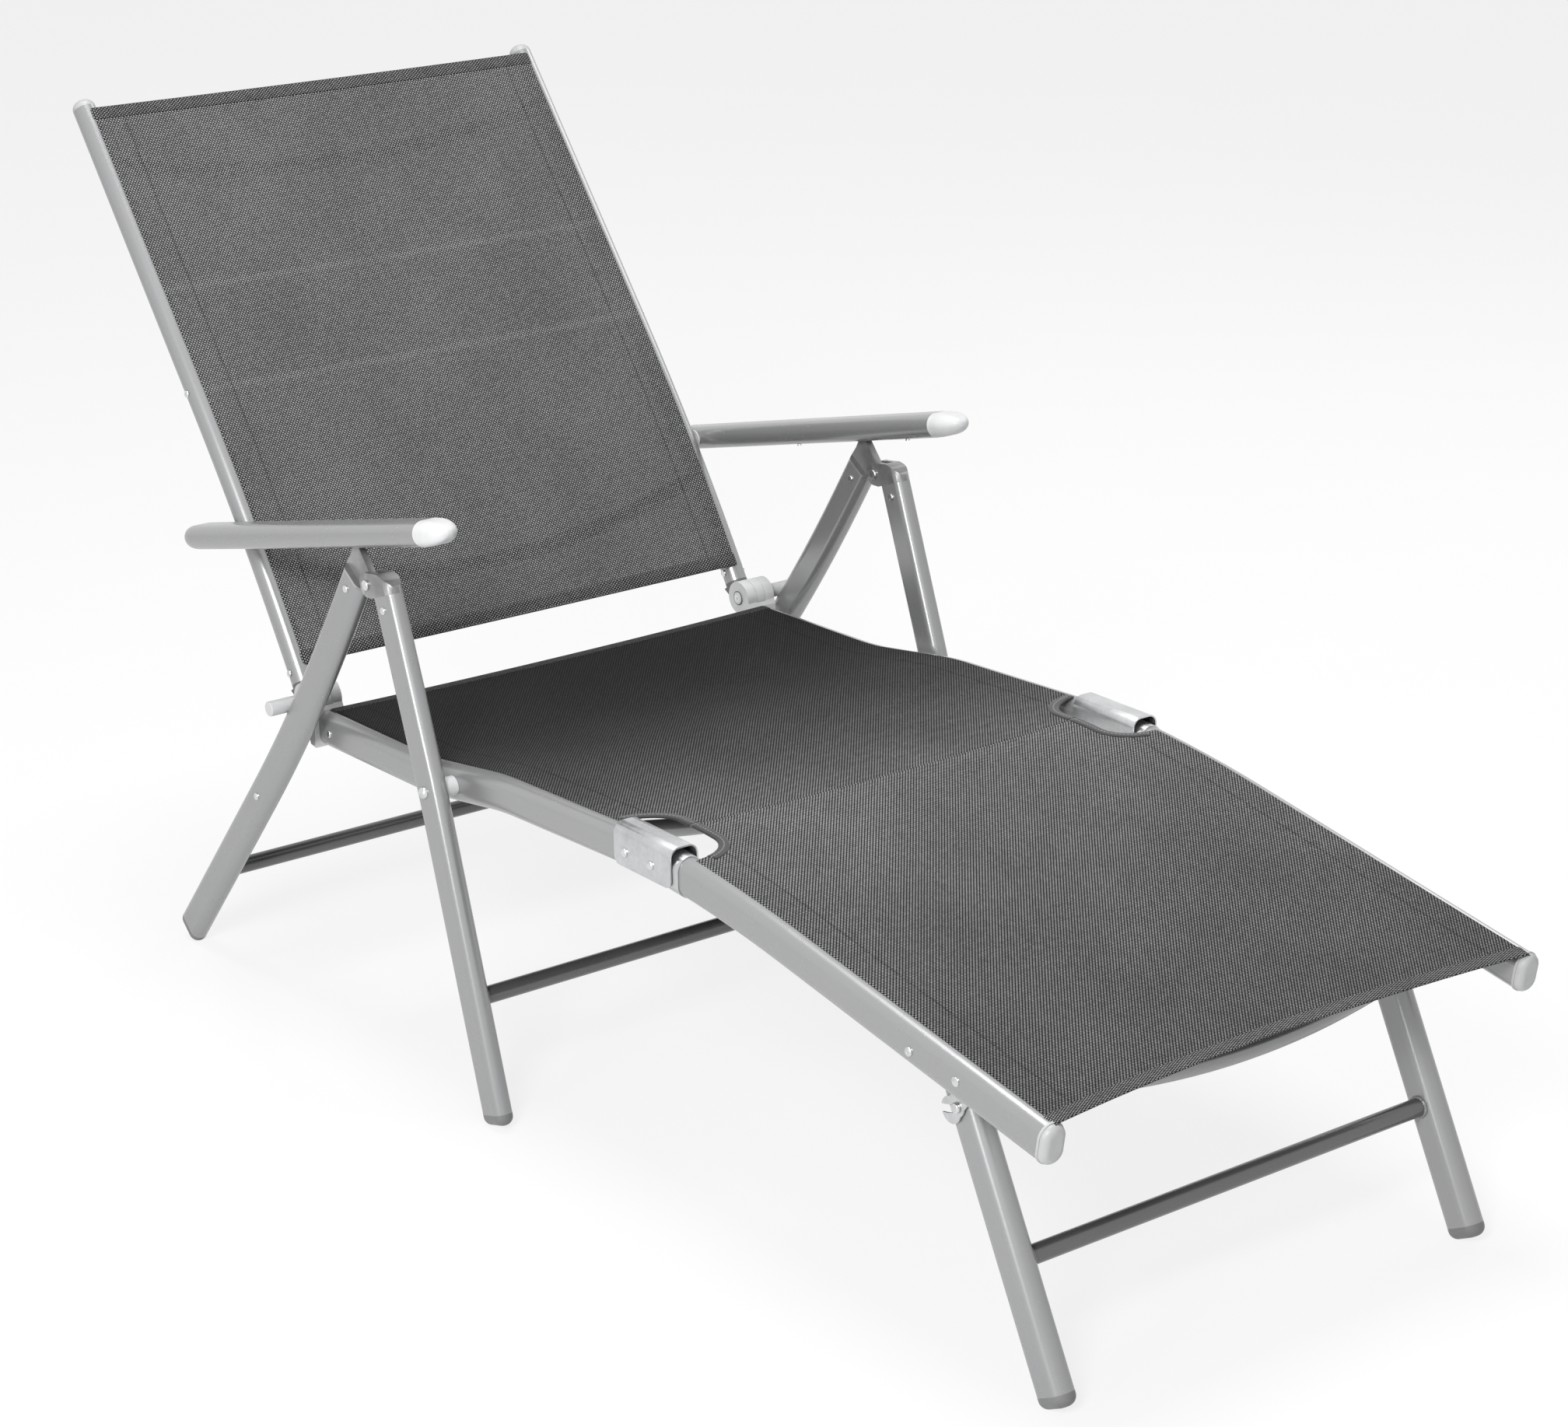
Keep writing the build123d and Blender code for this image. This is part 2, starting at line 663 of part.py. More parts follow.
def back_rail():
    """Left back rail, round, with the holes for its rivet and the armrest bolt."""
    path = bent_path(rail_x, [back_rail_foot, back_rail_corner, back_rail_top], back_bend_radius)
    tube = run(Circle(back_tube_diameter / 2) - Circle(back_tube_diameter / 2 - tube_wall), path)
    span = (rail_inner - overrun, rail_outer + overrun)
    tube -= pin(back_rivet_place, *span, fixing_rivet_diameter + 2 * pin_clearance)
    tube -= pin(back_place(back_screw_distance)[0], rail_x, rail_outer + overrun,
                fixing_rivet_diameter + 2 * pin_clearance)
    tube -= pin(arm_pivot, *span, arm_bolt_diameter + 2 * pin_clearance)
    return tube


def back_top_cap():
    """Rounded plug in the back rail's upper end."""
    radius = back_tube_diameter / 2
    tip = along(back_rail_top, back_upper_up, back_cap_length)
    dome = straight(Circle(radius), rail_x, back_rail_top, tip)
    face = dome.faces().sort_by(Axis((rail_x, *back_rail_top), (0, *back_upper_up)))[-1]
    dome = fillet(face.edges(), back_cap_round)
    start = along(back_rail_top, back_upper_up, -plug_length)
    return dome + straight(Circle(radius - tube_wall - seat_gap), rail_x, start, back_rail_top)


def back_screw():
    """Domed screw in the outer side of the back rail."""
    place = back_place(back_screw_distance)[0]
    shank = pin(place, rail_x + back_tube_diameter / 2 - 2 * tube_wall, rail_x + back_tube_diameter / 2,
                fixing_rivet_diameter)
    return shank + domed(place, rail_x + back_tube_diameter / 2, rail_x + back_tube_diameter / 2 + fixing_head_height,
                         fixing_head_diameter, fixing_head_round)


def back_rivet():
    """Rivet through back rail and hinge arm."""
    half = back_tube_diameter / 2
    return rivet(back_rivet_place, rail_x - half, rail_x + half, fixing_rivet_diameter, fixing_head_diameter,
                 fixing_head_height, fixing_head_round)


def back_bow(distance, depth, tilt):
    """Bowed spreader behind the back sling."""
    place, down = back_place(distance)
    behind = left_of(down)
    direction = (
        behind[0] * cos(radians(tilt)) + down[0] * sin(radians(tilt)),
        behind[1] * cos(radians(tilt)) + down[1] * sin(radians(tilt)),
    )
    tube = bow(place, depth, direction, rail_x - spreader_set_in, spreader_diameter)
    for side in (-1, 1):
        rail = straight(Circle(back_tube_diameter / 2 + pin_clearance), side * rail_x,
                        along(place, down, -depth), along(place, down, depth))
        tube -= rail
    return tube


spreader_set_in = back_tube_diameter / 2 - 3 * tube_wall


def spacer():
    """Plastic spacer between seat rail and front leg."""
    ring = pin(seat_bolt, rail_outer, leg_inner - running_gap, spacer_diameter)
    return ring - pin(seat_bolt, rail_inner, leg_outer, seat_bolt_diameter + 2 * pin_clearance)


def seat_bolt_piece():
    """Bolt that the front leg turns on, with its nut inside the rail."""
    shank = pin(seat_bolt, rail_inner - seat_bolt_head_height / 2, leg_outer + seat_bolt_head_height / 2,
                seat_bolt_diameter)
    head = domed(seat_bolt, leg_outer, leg_outer + seat_bolt_head_height, seat_bolt_head_diameter,
                 seat_bolt_head_height * hinge_rib_share)
    nut = pin(seat_bolt, rail_inner - seat_bolt_head_height, rail_inner, seat_bolt_head_diameter)
    return shank + head + nut


def leg_fixings(tube, places, diameter):
    """Holes across a leg."""
    for place in places:
        tube -= pin(place, leg_inner - overrun, leg_outer + overrun, diameter + 2 * pin_clearance)
    return tube


fork_rivet_place = along(front_leg_top, front_top_up, -fixing_rivet_depth)
tongue_rivet_place = along(rear_leg_top, rear_top_up, -fixing_rivet_depth)


def front_leg():
    """Left front leg."""
    path = bent_path(leg_x, [front_seam, seat_bolt, front_leg_top], front_leg_bend_radius)
    tube = run(oval_ring(leg_depth, leg_width, tube_wall), path)
    tube = leg_fixings(tube, [fork_rivet_place], fixing_rivet_diameter)
    return leg_fixings(tube, [seat_bolt], seat_bolt_diameter)


def rear_leg():
    """Left rear leg, gently bent."""
    path = bent_path(leg_x, [rear_seam, rear_corner, rear_leg_top], rear_leg_bend_radius)
    tube = run(oval_ring(leg_depth, leg_width, tube_wall), path)
    return leg_fixings(tube, [tongue_rivet_place, rear_rivet_place], fixing_rivet_diameter)


def foot_leg():
    """Left foot leg with its half round upper end."""
    tube = straight(oval_ring(foot_leg_depth, foot_leg_width, tube_wall), foot_leg_x, foot_leg_seam, foot_leg_end)
    tube = round_end(tube, foot_leg_pivot, foot_up, foot_leg_x, foot_leg_width, foot_leg_depth)
    span = (foot_leg_inner - overrun, foot_leg_outer + overrun)
    tube -= pin(foot_leg_pivot, *span, rivet_diameter + 2 * pin_clearance)
    tube -= pin(stud, foot_leg_x, foot_leg_outer + overrun, stud_diameter)
    return tube


def foot_leg_pin():
    """Pivot rivet of the foot leg, with a shoulder that keeps leg and rail apart."""
    body = rivet(foot_leg_pivot, foot_leg_inner, rail_outer, rivet_diameter, rivet_head_diameter,
                 rivet_head_height, rivet_head_round)
    return body + pin(foot_leg_pivot, foot_leg_outer + running_gap, rail_inner - seat_gap, foot_leg_fixing_shoulder)


def latch_stud():
    """Headed stud on the outside of the foot leg."""
    plate_inner = foot_leg_outer + plate_stand_off
    head_start = plate_inner + plate_thickness + running_gap
    head = domed(stud, head_start, head_start + stud_head_height, stud_head_diameter, stud_head_height / 2)
    return head + pin(stud, foot_leg_outer - tube_wall, head_start + stud_head_height / 2, stud_diameter)


def stop_plate():
    """Plate riveted to the foot rail, with the notch that the leg's stud rests in."""
    x_from = foot_leg_outer + plate_stand_off
    x_to = x_from + plate_thickness
    direction = between(plate_fixing, plate_lobe)
    across = left_of(direction)
    half = plate_strip_width / 2
    strip = outline_of([
        along(plate_fixing, across, half),
        along(plate_lobe, across, half),
        along(plate_lobe, across, -half),
        along(plate_fixing, across, -half),
    ])
    outline = strip + disc(plate_fixing, half) + disc(plate_lobe, plate_lobe_radius)
    outline += disc(stud, plate_heel_radius)
    reach = hypot(stud[0] - foot_leg_pivot[0], stud[1] - foot_leg_pivot[1])
    half_slot = stud_diameter / 2 + stud_clearance
    track = disc(foot_leg_pivot, reach + half_slot) - disc(foot_leg_pivot, reach - half_slot)
    track -= Pos(stud[0] - reach, stud[1]) * Rectangle(2 * reach, 4 * reach)
    body = plate(outline - track - disc(stud, half_slot), x_from, x_to)
    body += pin(plate_fixing, x_from, rail_inner, 2 * plate_boss_radius)
    return body - pin(plate_fixing, x_from - overrun, rail_outer, fixing_rivet_diameter + 2 * pin_clearance)


def plate_rivet():
    """Rivet through stop plate and foot rail."""
    return rivet(plate_fixing, foot_leg_outer + plate_stand_off, rail_outer, fixing_rivet_diameter,
                 rivet_head_diameter, plate_stand_off * hinge_rib_share, plate_stand_off * hinge_rib_share / 2)


def leg_plug(top, up, depth):
    """Plug of a cast piece inside the top of a leg."""
    inner_depth = leg_depth - 2 * tube_wall - 2 * seat_gap
    inner_width = leg_width - 2 * tube_wall - 2 * seat_gap
    return straight(oval(inner_depth, inner_width), leg_x, along(top, up, -depth), top)


def leg_top_fork():
    """Cast fork on the front leg that holds the rear leg's tongue."""
    half = leg_depth / 2
    side = left_of(front_top_up)
    cheek = outline_of([
        along(front_leg_top, side, -half),
        along(front_leg_top, side, half),
        along(along(front_leg_top, side, half * 0.98), front_top_up, half * 0.36),
        along(along(front_leg_top, side, half * 0.82), front_top_up, half * 0.62),
        along(along(front_leg_top, side, half * 0.45), front_top_up, half * 0.95),
        along(along(front_leg_top, side, half * 0.1), front_top_up, half * 1.15),
        along(along(front_leg_top, side, -half * 0.25), front_top_up, half * 1.22),
        along(leg_pivot, heading(95), fork_ear_radius),
        leg_pivot,
        along(leg_pivot, heading(-100), fork_ear_radius),
    ])
    body = plate(cheek + disc(leg_pivot, fork_ear_radius), leg_inner + seat_gap, leg_outer - seat_gap)
    nose = Pos(0, leg_depth / 2) * oval(2 * leg_depth, leg_width - 2 * seat_gap)
    body &= straight(nose, leg_x, along(front_leg_top, front_top_up, -leg_depth),
                     along(front_leg_top, front_top_up, 2 * leg_depth))
    body += leg_plug(front_leg_top, front_top_up, plug_length)
    slot_half = fork_slot_width / 2
    body -= plate(disc(leg_pivot, fork_slot_radius), leg_x - slot_half, leg_x + slot_half)
    body -= pin(leg_pivot, leg_inner - overrun, leg_outer + overrun, pivot_pin_diameter + 2 * pin_clearance)
    return leg_fixings(body, [fork_rivet_place], fixing_rivet_diameter)


def leg_top_tongue():
    """Cast tongue on the rear leg that reaches up into the armrest."""
    half = leg_depth / 2
    side = left_of(rear_top_up)
    rear_edge = along(rear_leg_top, side, -half)
    front_edge = along(rear_leg_top, side, half)
    tip = tongue_tip
    horn = outline_of([
        front_edge,
        along(leg_pivot, heading(-45), tongue_ear_radius),
        leg_pivot,
        along(leg_pivot, heading(75), tongue_ear_radius),
        along(leg_pivot, heading(60), tongue_ear_radius * 2.2),
        (tip[0] - tongue_ear_radius / 2, tip[1] - tongue_ear_radius / 3),
        tip,
        (tip[0] + tongue_ear_radius / 2, tip[1] - tongue_ear_radius / 3),
        along(rear_edge, between(rear_edge, tip), tongue_ear_radius * 1.4),
        rear_edge,
    ])
    thick = tongue_thickness / 2
    blade = plate(horn + disc(leg_pivot, tongue_ear_radius), leg_x - thick, leg_x + thick)
    blade -= pin(leg_pivot, leg_inner, leg_outer, pivot_pin_diameter + 2 * pin_clearance)
    collar = straight(oval(leg_depth, leg_width), leg_x, rear_leg_top, along(rear_leg_top, rear_top_up, tongue_collar))
    body = blade + collar + leg_plug(rear_leg_top, rear_top_up, plug_length)
    return leg_fixings(body, [tongue_rivet_place], fixing_rivet_diameter)


def leg_rivet(place):
    """Fixing rivet across a leg."""
    return rivet(place, leg_inner, leg_outer, fixing_rivet_diameter, fixing_head_diameter, fixing_head_height,
                 fixing_head_round)


def pivot_pin():
    """Pin that joins the two legs at the top."""
    return rivet(leg_pivot, leg_inner, leg_outer, pivot_pin_diameter, pivot_head_diameter, pivot_head_height,
                 fixing_head_round)


def arm_frame():
    """Placing of an armrest drawn level, pivot at zero and front towards -Y."""
    return Pos(0, *arm_pivot) * Rot(-arm_tilt, 0, 0)


def arm_section(width, height):
    """Armrest section across, with its length along Y."""
    return SlotOverall(width, height)


def arm_bar(section, y_from, y_to):
    """Armrest section carried along Y."""
    start = Plane(origin=(arm_half_spacing, y_from, 0), x_dir=(1, 0, 0), z_dir=(0, 1, 0))
    return extrude(start * section, y_to - y_from)


def arm_dome(base_y, length):
    """Long rounded end of an armrest, from its base outwards."""
    sections = []
    for angle in arm_dome_angles:
        share = cos(radians(angle))
        place = Plane(origin=(arm_half_spacing, base_y + length * sin(radians(angle)), 0), x_dir=(1, 0, 0),
                      z_dir=(0, 1, 0))
        sections.append(place * arm_section(arm_width * share, arm_height * share))
    return loft(sections)


def armrest_tube():
    """Left armrest tube, slotted below for the tongue and closed at the rear."""
    tube = arm_bar(arm_section(arm_width, arm_height), -arm_front_length, arm_rear_length)
    bore = arm_bar(arm_section(arm_width - 2 * tube_wall, arm_height - 2 * tube_wall),
                   -arm_front_length - overrun, arm_rear_length)
    tube -= bore
    tube += arm_dome(arm_rear_length, arm_rear_dome)
    slot_length = arm_front_length - arm_slot_start + overrun
    slot_middle = -arm_slot_start - slot_length / 2
    tube -= Pos(leg_x, slot_middle, -arm_height / 2) * Box(arm_slot_width, slot_length, arm_height / 2)
    for x, y in rack_screw_places():
        hole = Pos(x, y, -arm_height / 2) * Cylinder(rack_screw_diameter / 2 + pin_clearance, arm_height / 2)
        tube -= hole
    inner = arm_half_spacing - arm_width / 2
    tube -= pin((0, 0), inner - overrun, inner + overrun, arm_bolt_diameter + 2 * pin_clearance)
    return arm_frame() * tube


def rack_screw_places():
    """Places of the rack's screws under the armrest."""
    x = arm_half_spacing - rack_screw_offset
    return [(x, -rack_screw_rear), (x, rack_screw_front_set_back - arm_front_length)]


def armrest_cap():
    """Long light plug that closes the armrest's front end."""
    dome = arm_dome(-arm_front_length, -arm_front_dome)
    inner_width = arm_width - 2 * tube_wall - 2 * seat_gap
    inner_height = arm_height - 2 * tube_wall - 2 * seat_gap
    plug_end = -rack_end - running_gap
    plug = arm_bar(arm_section(inner_width, inner_height), -arm_front_length, plug_end)
    plug_length_here = plug_end + arm_front_length
    plug -= Pos(leg_x, plug_end - plug_length_here / 2, -arm_height / 2) * Box(
        arm_slot_width, plug_length_here, arm_height)
    return arm_frame() * (dome + plug)


def armrest_rack():
    """Toothed strip under the armrest's roof that the tongue catches in."""
    roof = arm_height / 2 - tube_wall - seat_gap
    length = rack_end - rack_start
    body = Pos(leg_x - rack_inset, -rack_start - length / 2, roof - rack_height / 2) * Box(
        rack_width, length, rack_height)
    tooth = arm_slot_start + rack_tooth_slot
    while tooth < rack_end - rack_tooth_pitch / 2:
        body -= Pos(leg_x, -tooth, roof - rack_height) * Box(2 * rack_width, rack_tooth_slot, 2 * rack_tooth_depth)
        tooth += rack_tooth_pitch
    post_height = arm_height - 2 * tube_wall - 2 * seat_gap
    for x, y in rack_screw_places():
        post_radius = rack_screw_head_diameter / 2
        body += Pos(x, y) * Cylinder(post_radius, post_height)
        pilot = Pos(x, y, -post_height / 2) * Cylinder(rack_screw_diameter / 2, 2 * rack_screw_bite)
        body -= pilot
    inside = arm_bar(arm_section(arm_width - 2 * tube_wall - 2 * seat_gap, post_height), -rack_end, -rack_start)
    slot_length = rack_end - arm_slot_start
    slot_floor = -arm_height / 2 + rack_height
    keep_clear = Pos(leg_x, -arm_slot_start - slot_length / 2, slot_floor - rack_height / 2) * Box(
        arm_slot_width, slot_length, rack_height)
    return arm_frame() * ((body & inside) - keep_clear)


def rack_screws():
    """Small screws that hold the rack from below."""
    screws = []
    under = -arm_height / 2
    for x, y in rack_screw_places():
        length = tube_wall + seat_gap + rack_screw_bite
        shank = Pos(x, y, under + length / 2) * Cylinder(rack_screw_diameter / 2 - pin_clearance / 2, length)
        head = Pos(x, y, under - rack_screw_head_height / 2) * Cylinder(
            rack_screw_head_diameter / 2, rack_screw_head_height)
        screws.append(arm_frame() * (shank + head))
    return screws


def armrest_bush():
    """Plastic washer between back rail and armrest."""
    inner = arm_half_spacing - arm_width / 2
    ring = pin(arm_pivot, rail_x + back_tube_diameter / 2 + running_gap, inner, arm_bush_diameter)
    return ring - pin(arm_pivot, rail_x, inner + overrun, arm_bolt_diameter + 2 * pin_clearance)


def armrest_bolt():
    """Bolt from the back rail into the armrest, with its nut inside the armrest."""
    rail_face = rail_x - back_tube_diameter / 2
    wall_face = arm_half_spacing - arm_width / 2 + tube_wall + arm_nut_set_in
    shank = pin(arm_pivot, rail_face - arm_bolt_head_height / 2, wall_face + arm_nut_height, arm_bolt_diameter)
    head = domed(arm_pivot, rail_face, rail_face - arm_bolt_head_height, arm_bolt_head_diameter,
                 arm_bolt_head_height / 2)
    nut = pin(arm_pivot, wall_face, wall_face + arm_nut_height, arm_nut_diameter)
    return shank + head + nut


def sling_section(lift, half_width):
    """Thin cloth stretched level across the lounger, resting on both rails."""
    return Pos(0, lift + sling_thickness / 2) * Rectangle(2 * half_width, sling_thickness)


def cutout(side):
    """Rounded notch in the sling's edge round a knee bracket."""
    length = cutout_rear - cutout_front
    x = side * (rail_x + cutout_depth / 2)
    shape = RectangleRounded(3 * cutout_depth, length, cutout_round)
    return extrude(Plane.XY * Pos(x, (cutout_rear + cutout_front) / 2) * shape, 2 * knee_pivot[1])


def beyond_knee(side):
    """Block over everything past the middle of the knee, less half a running gap."""
    length = cutout_rear - cutout_front
    middle = knee_pivot[0] - knee_pivot_spacing / 2 + side * (length - running_gap) / 2
    return Pos(0, middle, knee_pivot[1]) * Box(4 * rail_x, length, 2 * knee_pivot[1])


def seat_sling():
    """Seat sling from the seat's rear edge to the middle of the knee."""
    rear = (seat_sling_rear, seat_rail_place(seat_sling_rear)[1])
    path = seat_path(0, rear, along(knee_pivot, seat_direction, knee_pivot_spacing))
    cloth = run(sling_section(rail_height / 2 + sling_lift, rail_x - sling_inset), path)
    return cloth - cutout(1) - cutout(-1) - beyond_knee(-1)


def foot_sling():
    """Foot sling from the middle of the knee to the foot end."""
    start = along(foot_pivot, foot_direction, -knee_pivot_spacing)
    path = bent_path(0, [start, foot_rail_corner, foot_rail_place(foot_sling_front)], foot_bend_radius)
    cloth = run(sling_section(rail_height / 2 + sling_lift, rail_x - sling_inset), path)
    return cloth - cutout(1) - cutout(-1) - beyond_knee(1)


def back_sling():
    """Back sling between the back rails."""
    upper = back_place(back_sling_upper_distance)[0]
    lower = back_place(back_sling_lower_distance)[0]
    middle = back_place((back_sling_lower_distance + back_top_run) / 2)[0]
    bend = ThreePointArc((0, *back_bend_top), (0, *middle), (0, *lower))
    path = Curve() + [Line((0, *upper), (0, *back_bend_top)), bend]
    return run(sling_section(back_tube_diameter / 2 + sling_lift, rail_x - sling_inset), path)


def front_foot(x):
    """Domed foot of a front leg."""
    return standing_cap(front_seam, (-front_up[0], -front_up[1]), x, leg_depth, leg_width)


def rear_foot(x):
    """Domed foot of a rear leg."""
    return standing_cap(rear_seam, (-rear_up[0], -rear_up[1]), x, leg_depth, leg_width)


def foot_leg_foot(x):
    """Domed foot of a foot leg."""
    return standing_cap(foot_leg_seam, (-foot_up[0], -foot_up[1]), x, foot_leg_depth, foot_leg_width)


def pair(*pieces):
    """Pieces of the left side and their copies on the right."""
    return [*pieces, *[other_side(piece) for piece in pieces]]


def add_sides(nodes, name, piece):
    """Left and right nodes of one piece."""
    pieces = piece if isinstance(piece, list) else [piece]
    nodes[f"{name}_left"] = pieces
    nodes[f"{name}_right"] = [other_side(one) for one in pieces]


def build():
    """All sub-parts by node name."""
    nodes = {}
    down = (0, -1)
    add_sides(nodes, "seat_rail", seat_rail())
    nodes["seat_spreader_rear"] = [
        bow(seat_rail_place(seat_bow_rear_y), seat_bow_rear_depth, down, rail_inner, spreader_diameter)]
    nodes["seat_spreader_knee"] = [
        bow(seat_rail_place(seat_bow_knee_y), seat_bow_knee_depth, down, rail_inner, spreader_diameter)]
    nodes["hinge_forks"] = pair(hinge_fork())
    nodes["fork_screws"] = pair(fork_screw())
    nodes["stop_rods"] = pair(stop_rod())
    nodes["leg_spacers"] = pair(spacer())
    nodes["seat_sling"] = [seat_sling()]

    add_sides(nodes, "back_rail", back_rail())
    nodes["back_top_caps"] = pair(back_top_cap())
    nodes["back_spreader_upper"] = [back_bow(back_bow_upper_distance, back_bow_upper_depth, back_bow_upper_tilt)]
    nodes["back_spreader_lower"] = [back_bow(back_bow_lower_distance, back_bow_lower_depth, back_bow_lower_tilt)]
    nodes["hinge_arms"] = pair(hinge_arm())
    nodes["back_rivets"] = pair(back_rivet())
    nodes["back_screws"] = pair(back_screw())
    nodes["armrest_bolts"] = pair(armrest_bolt())
    nodes["back_sling"] = [back_sling()]

    add_sides(nodes, "armrest_tube", armrest_tube())
    add_sides(nodes, "armrest_cap", armrest_cap())
    add_sides(nodes, "armrest_rack", armrest_rack())
    add_sides(nodes, "rack_screws", rack_screws())
    add_sides(nodes, "armrest_bush", armrest_bush())

    add_sides(nodes, "front_leg", front_leg())
    nodes["front_crossbar"] = [crossbar(front_crossbar_place, leg_inner)]
    nodes["front_feet"] = pair(front_foot(leg_x))
    nodes["leg_top_forks"] = pair(leg_top_fork())
    nodes["fork_rivets"] = pair(leg_rivet(fork_rivet_place))
    nodes["leg_pivot_pins"] = pair(pivot_pin())
    nodes["seat_bolts"] = pair(seat_bolt_piece())

    add_sides(nodes, "rear_leg", rear_leg())
    nodes["rear_crossbar"] = [crossbar(rear_crossbar_place, leg_inner)]
    nodes["rear_feet"] = pair(rear_foot(leg_x))
    nodes["leg_top_tongues"] = pair(leg_top_tongue())
    nodes["rear_leg_rivets"] = pair(leg_rivet(tongue_rivet_place), leg_rivet(rear_rivet_place))

    nodes["knee_brackets"] = pair(knee_bracket())
    nodes["knee_rivets"] = pair(*knee_rivets())

    add_sides(nodes, "foot_rail", foot_rail())
    nodes["knee_sleeves"] = pair(knee_sleeve())
    nodes["foot_end_caps"] = pair(foot_end_cap())
    forward_down = heading(foot_bow_tilt - 90 - 2 * foot_bow_tilt)
    nodes["foot_spreader"] = [
        bow(foot_rail_place(foot_bow_y), foot_bow_depth, forward_down, rail_inner, spreader_diameter)]
    nodes["stop_plates"] = pair(stop_plate())
    nodes["stop_plate_rivets"] = pair(plate_rivet())
    nodes["foot_sling"] = [foot_sling()]

    add_sides(nodes, "foot_leg", foot_leg())
    nodes["foot_crossbar"] = [crossbar(foot_crossbar_place, foot_leg_inner)]
    nodes["foot_leg_feet"] = pair(foot_leg_foot(foot_leg_x))
    nodes["foot_leg_pins"] = pair(foot_leg_pin())
    nodes["latch_studs"] = pair(latch_stud())
    return nodes


def main():
    """Build, centre and write every sub-part, and print the joint places."""
    os.makedirs("parts", exist_ok=True)
    nodes = {}
    for name, pieces in build().items():
        solids = [solid for piece in pieces for solid in piece.solids()]
        nodes[name] = Compound(children=solids)
    boxes = [node.bounding_box() for node in nodes.values()]
    low_y = min(box.min.Y for box in boxes)
    high_y = max(box.max.Y for box in boxes)
    shift = -(low_y + high_y) / 2
    for name, node in nodes.items():
        export_step(Pos(0, shift, 0) * node, f"parts/{name}.step")
    places = {
        "hinge": hinge,
        "arm_pivot": arm_pivot,
        "seat_bolt": seat_bolt,
        "leg_pivot": leg_pivot,
        "knee_pivot": knee_pivot,
        "foot_pivot": foot_pivot,
        "foot_leg_pivot": foot_leg_pivot,
        "front_foot": front_leg_floor,
        "rear_foot": rear_leg_floor,
        "foot_leg_foot": foot_leg_floor,
        "tongue_tip": tongue_tip,
        "front_crossbar": front_crossbar_place,
        "rear_crossbar": rear_crossbar_place,
        "foot_crossbar": foot_crossbar_place,
        "foot_rail_end": foot_rail_end,
        "back_rail_top": back_rail_top,
        "back_rail_foot": back_rail_foot,
    }
    print("shift", round(shift, 4))
    for name, place in places.items():
        print("place", name, round(place[0] + shift, 4), round(place[1], 4))
    print("length", round(high_y - low_y, 2), "height", round(max(box.max.Z for box in boxes), 2))
    print("lowest", round(min(box.min.Z for box in boxes), 3))


main()
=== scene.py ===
"""Dresses a folding sun lounger: painted tubes, mesh slings, plastic and plated fittings."""

import logging
import math
from collections.abc import Callable, Iterable, Sequence
from dataclasses import dataclass, field
from enum import Enum
from typing import Protocol

import bmesh
import bpy
from mathutils import Matrix, Vector

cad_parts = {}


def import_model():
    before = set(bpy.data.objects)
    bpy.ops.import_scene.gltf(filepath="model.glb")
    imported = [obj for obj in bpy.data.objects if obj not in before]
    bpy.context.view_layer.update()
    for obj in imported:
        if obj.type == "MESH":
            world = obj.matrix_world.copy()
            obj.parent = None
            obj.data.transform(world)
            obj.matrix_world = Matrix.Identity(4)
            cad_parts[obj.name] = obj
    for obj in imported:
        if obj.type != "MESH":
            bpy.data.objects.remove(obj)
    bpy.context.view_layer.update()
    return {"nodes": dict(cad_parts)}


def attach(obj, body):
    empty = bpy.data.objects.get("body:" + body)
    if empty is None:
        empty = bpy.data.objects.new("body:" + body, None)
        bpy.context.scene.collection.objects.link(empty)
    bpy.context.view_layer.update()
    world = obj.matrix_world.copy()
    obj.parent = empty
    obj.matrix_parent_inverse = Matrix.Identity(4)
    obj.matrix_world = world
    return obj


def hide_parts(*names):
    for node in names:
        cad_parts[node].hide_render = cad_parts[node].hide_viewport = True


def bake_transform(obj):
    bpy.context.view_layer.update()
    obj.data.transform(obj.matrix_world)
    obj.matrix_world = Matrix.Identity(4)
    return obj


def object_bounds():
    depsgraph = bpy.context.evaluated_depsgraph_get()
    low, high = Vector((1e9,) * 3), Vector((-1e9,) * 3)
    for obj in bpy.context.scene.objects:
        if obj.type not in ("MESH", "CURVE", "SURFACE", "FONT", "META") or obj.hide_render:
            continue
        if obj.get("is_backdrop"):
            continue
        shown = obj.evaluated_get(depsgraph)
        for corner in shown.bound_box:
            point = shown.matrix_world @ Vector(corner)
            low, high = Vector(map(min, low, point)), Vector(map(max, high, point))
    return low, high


Socket = bpy.types.NodeSocket
Material = bpy.types.Material
Piece = bpy.types.Object
Colour = tuple[float, float, float, float]
Triple = tuple[float, float, float]
Side = tuple[float, float]
Value = Socket | float | Colour | Triple

LOG = logging.getLogger("sun_lounger")
MM = 0.001
# Millimetres from the zero of the side view places to the frame's own, along the lounger.
SHIFT = 336.0912
SIDES = (("left", 1), ("right", -1))
ARC_STEPS = 24
# The part of a noise's range that its values mostly fall in.
USUAL = (0.3, 0.7)


def grey(value: float, blue: float = 0.0) -> Colour:
    """A near neutral grey, in linear light."""
    return (value, value * (1 + blue / 2), value * (1 + blue), 1.0)


class Sheen(Enum):
    """How a moulded plastic catches the light."""

    MATT = 0.55
    SATIN = 0.4


class Weave(Enum):
    """The two looks of the mesh cloth."""

    RIBBED = "ribbed"
    DOTTED = "dotted"


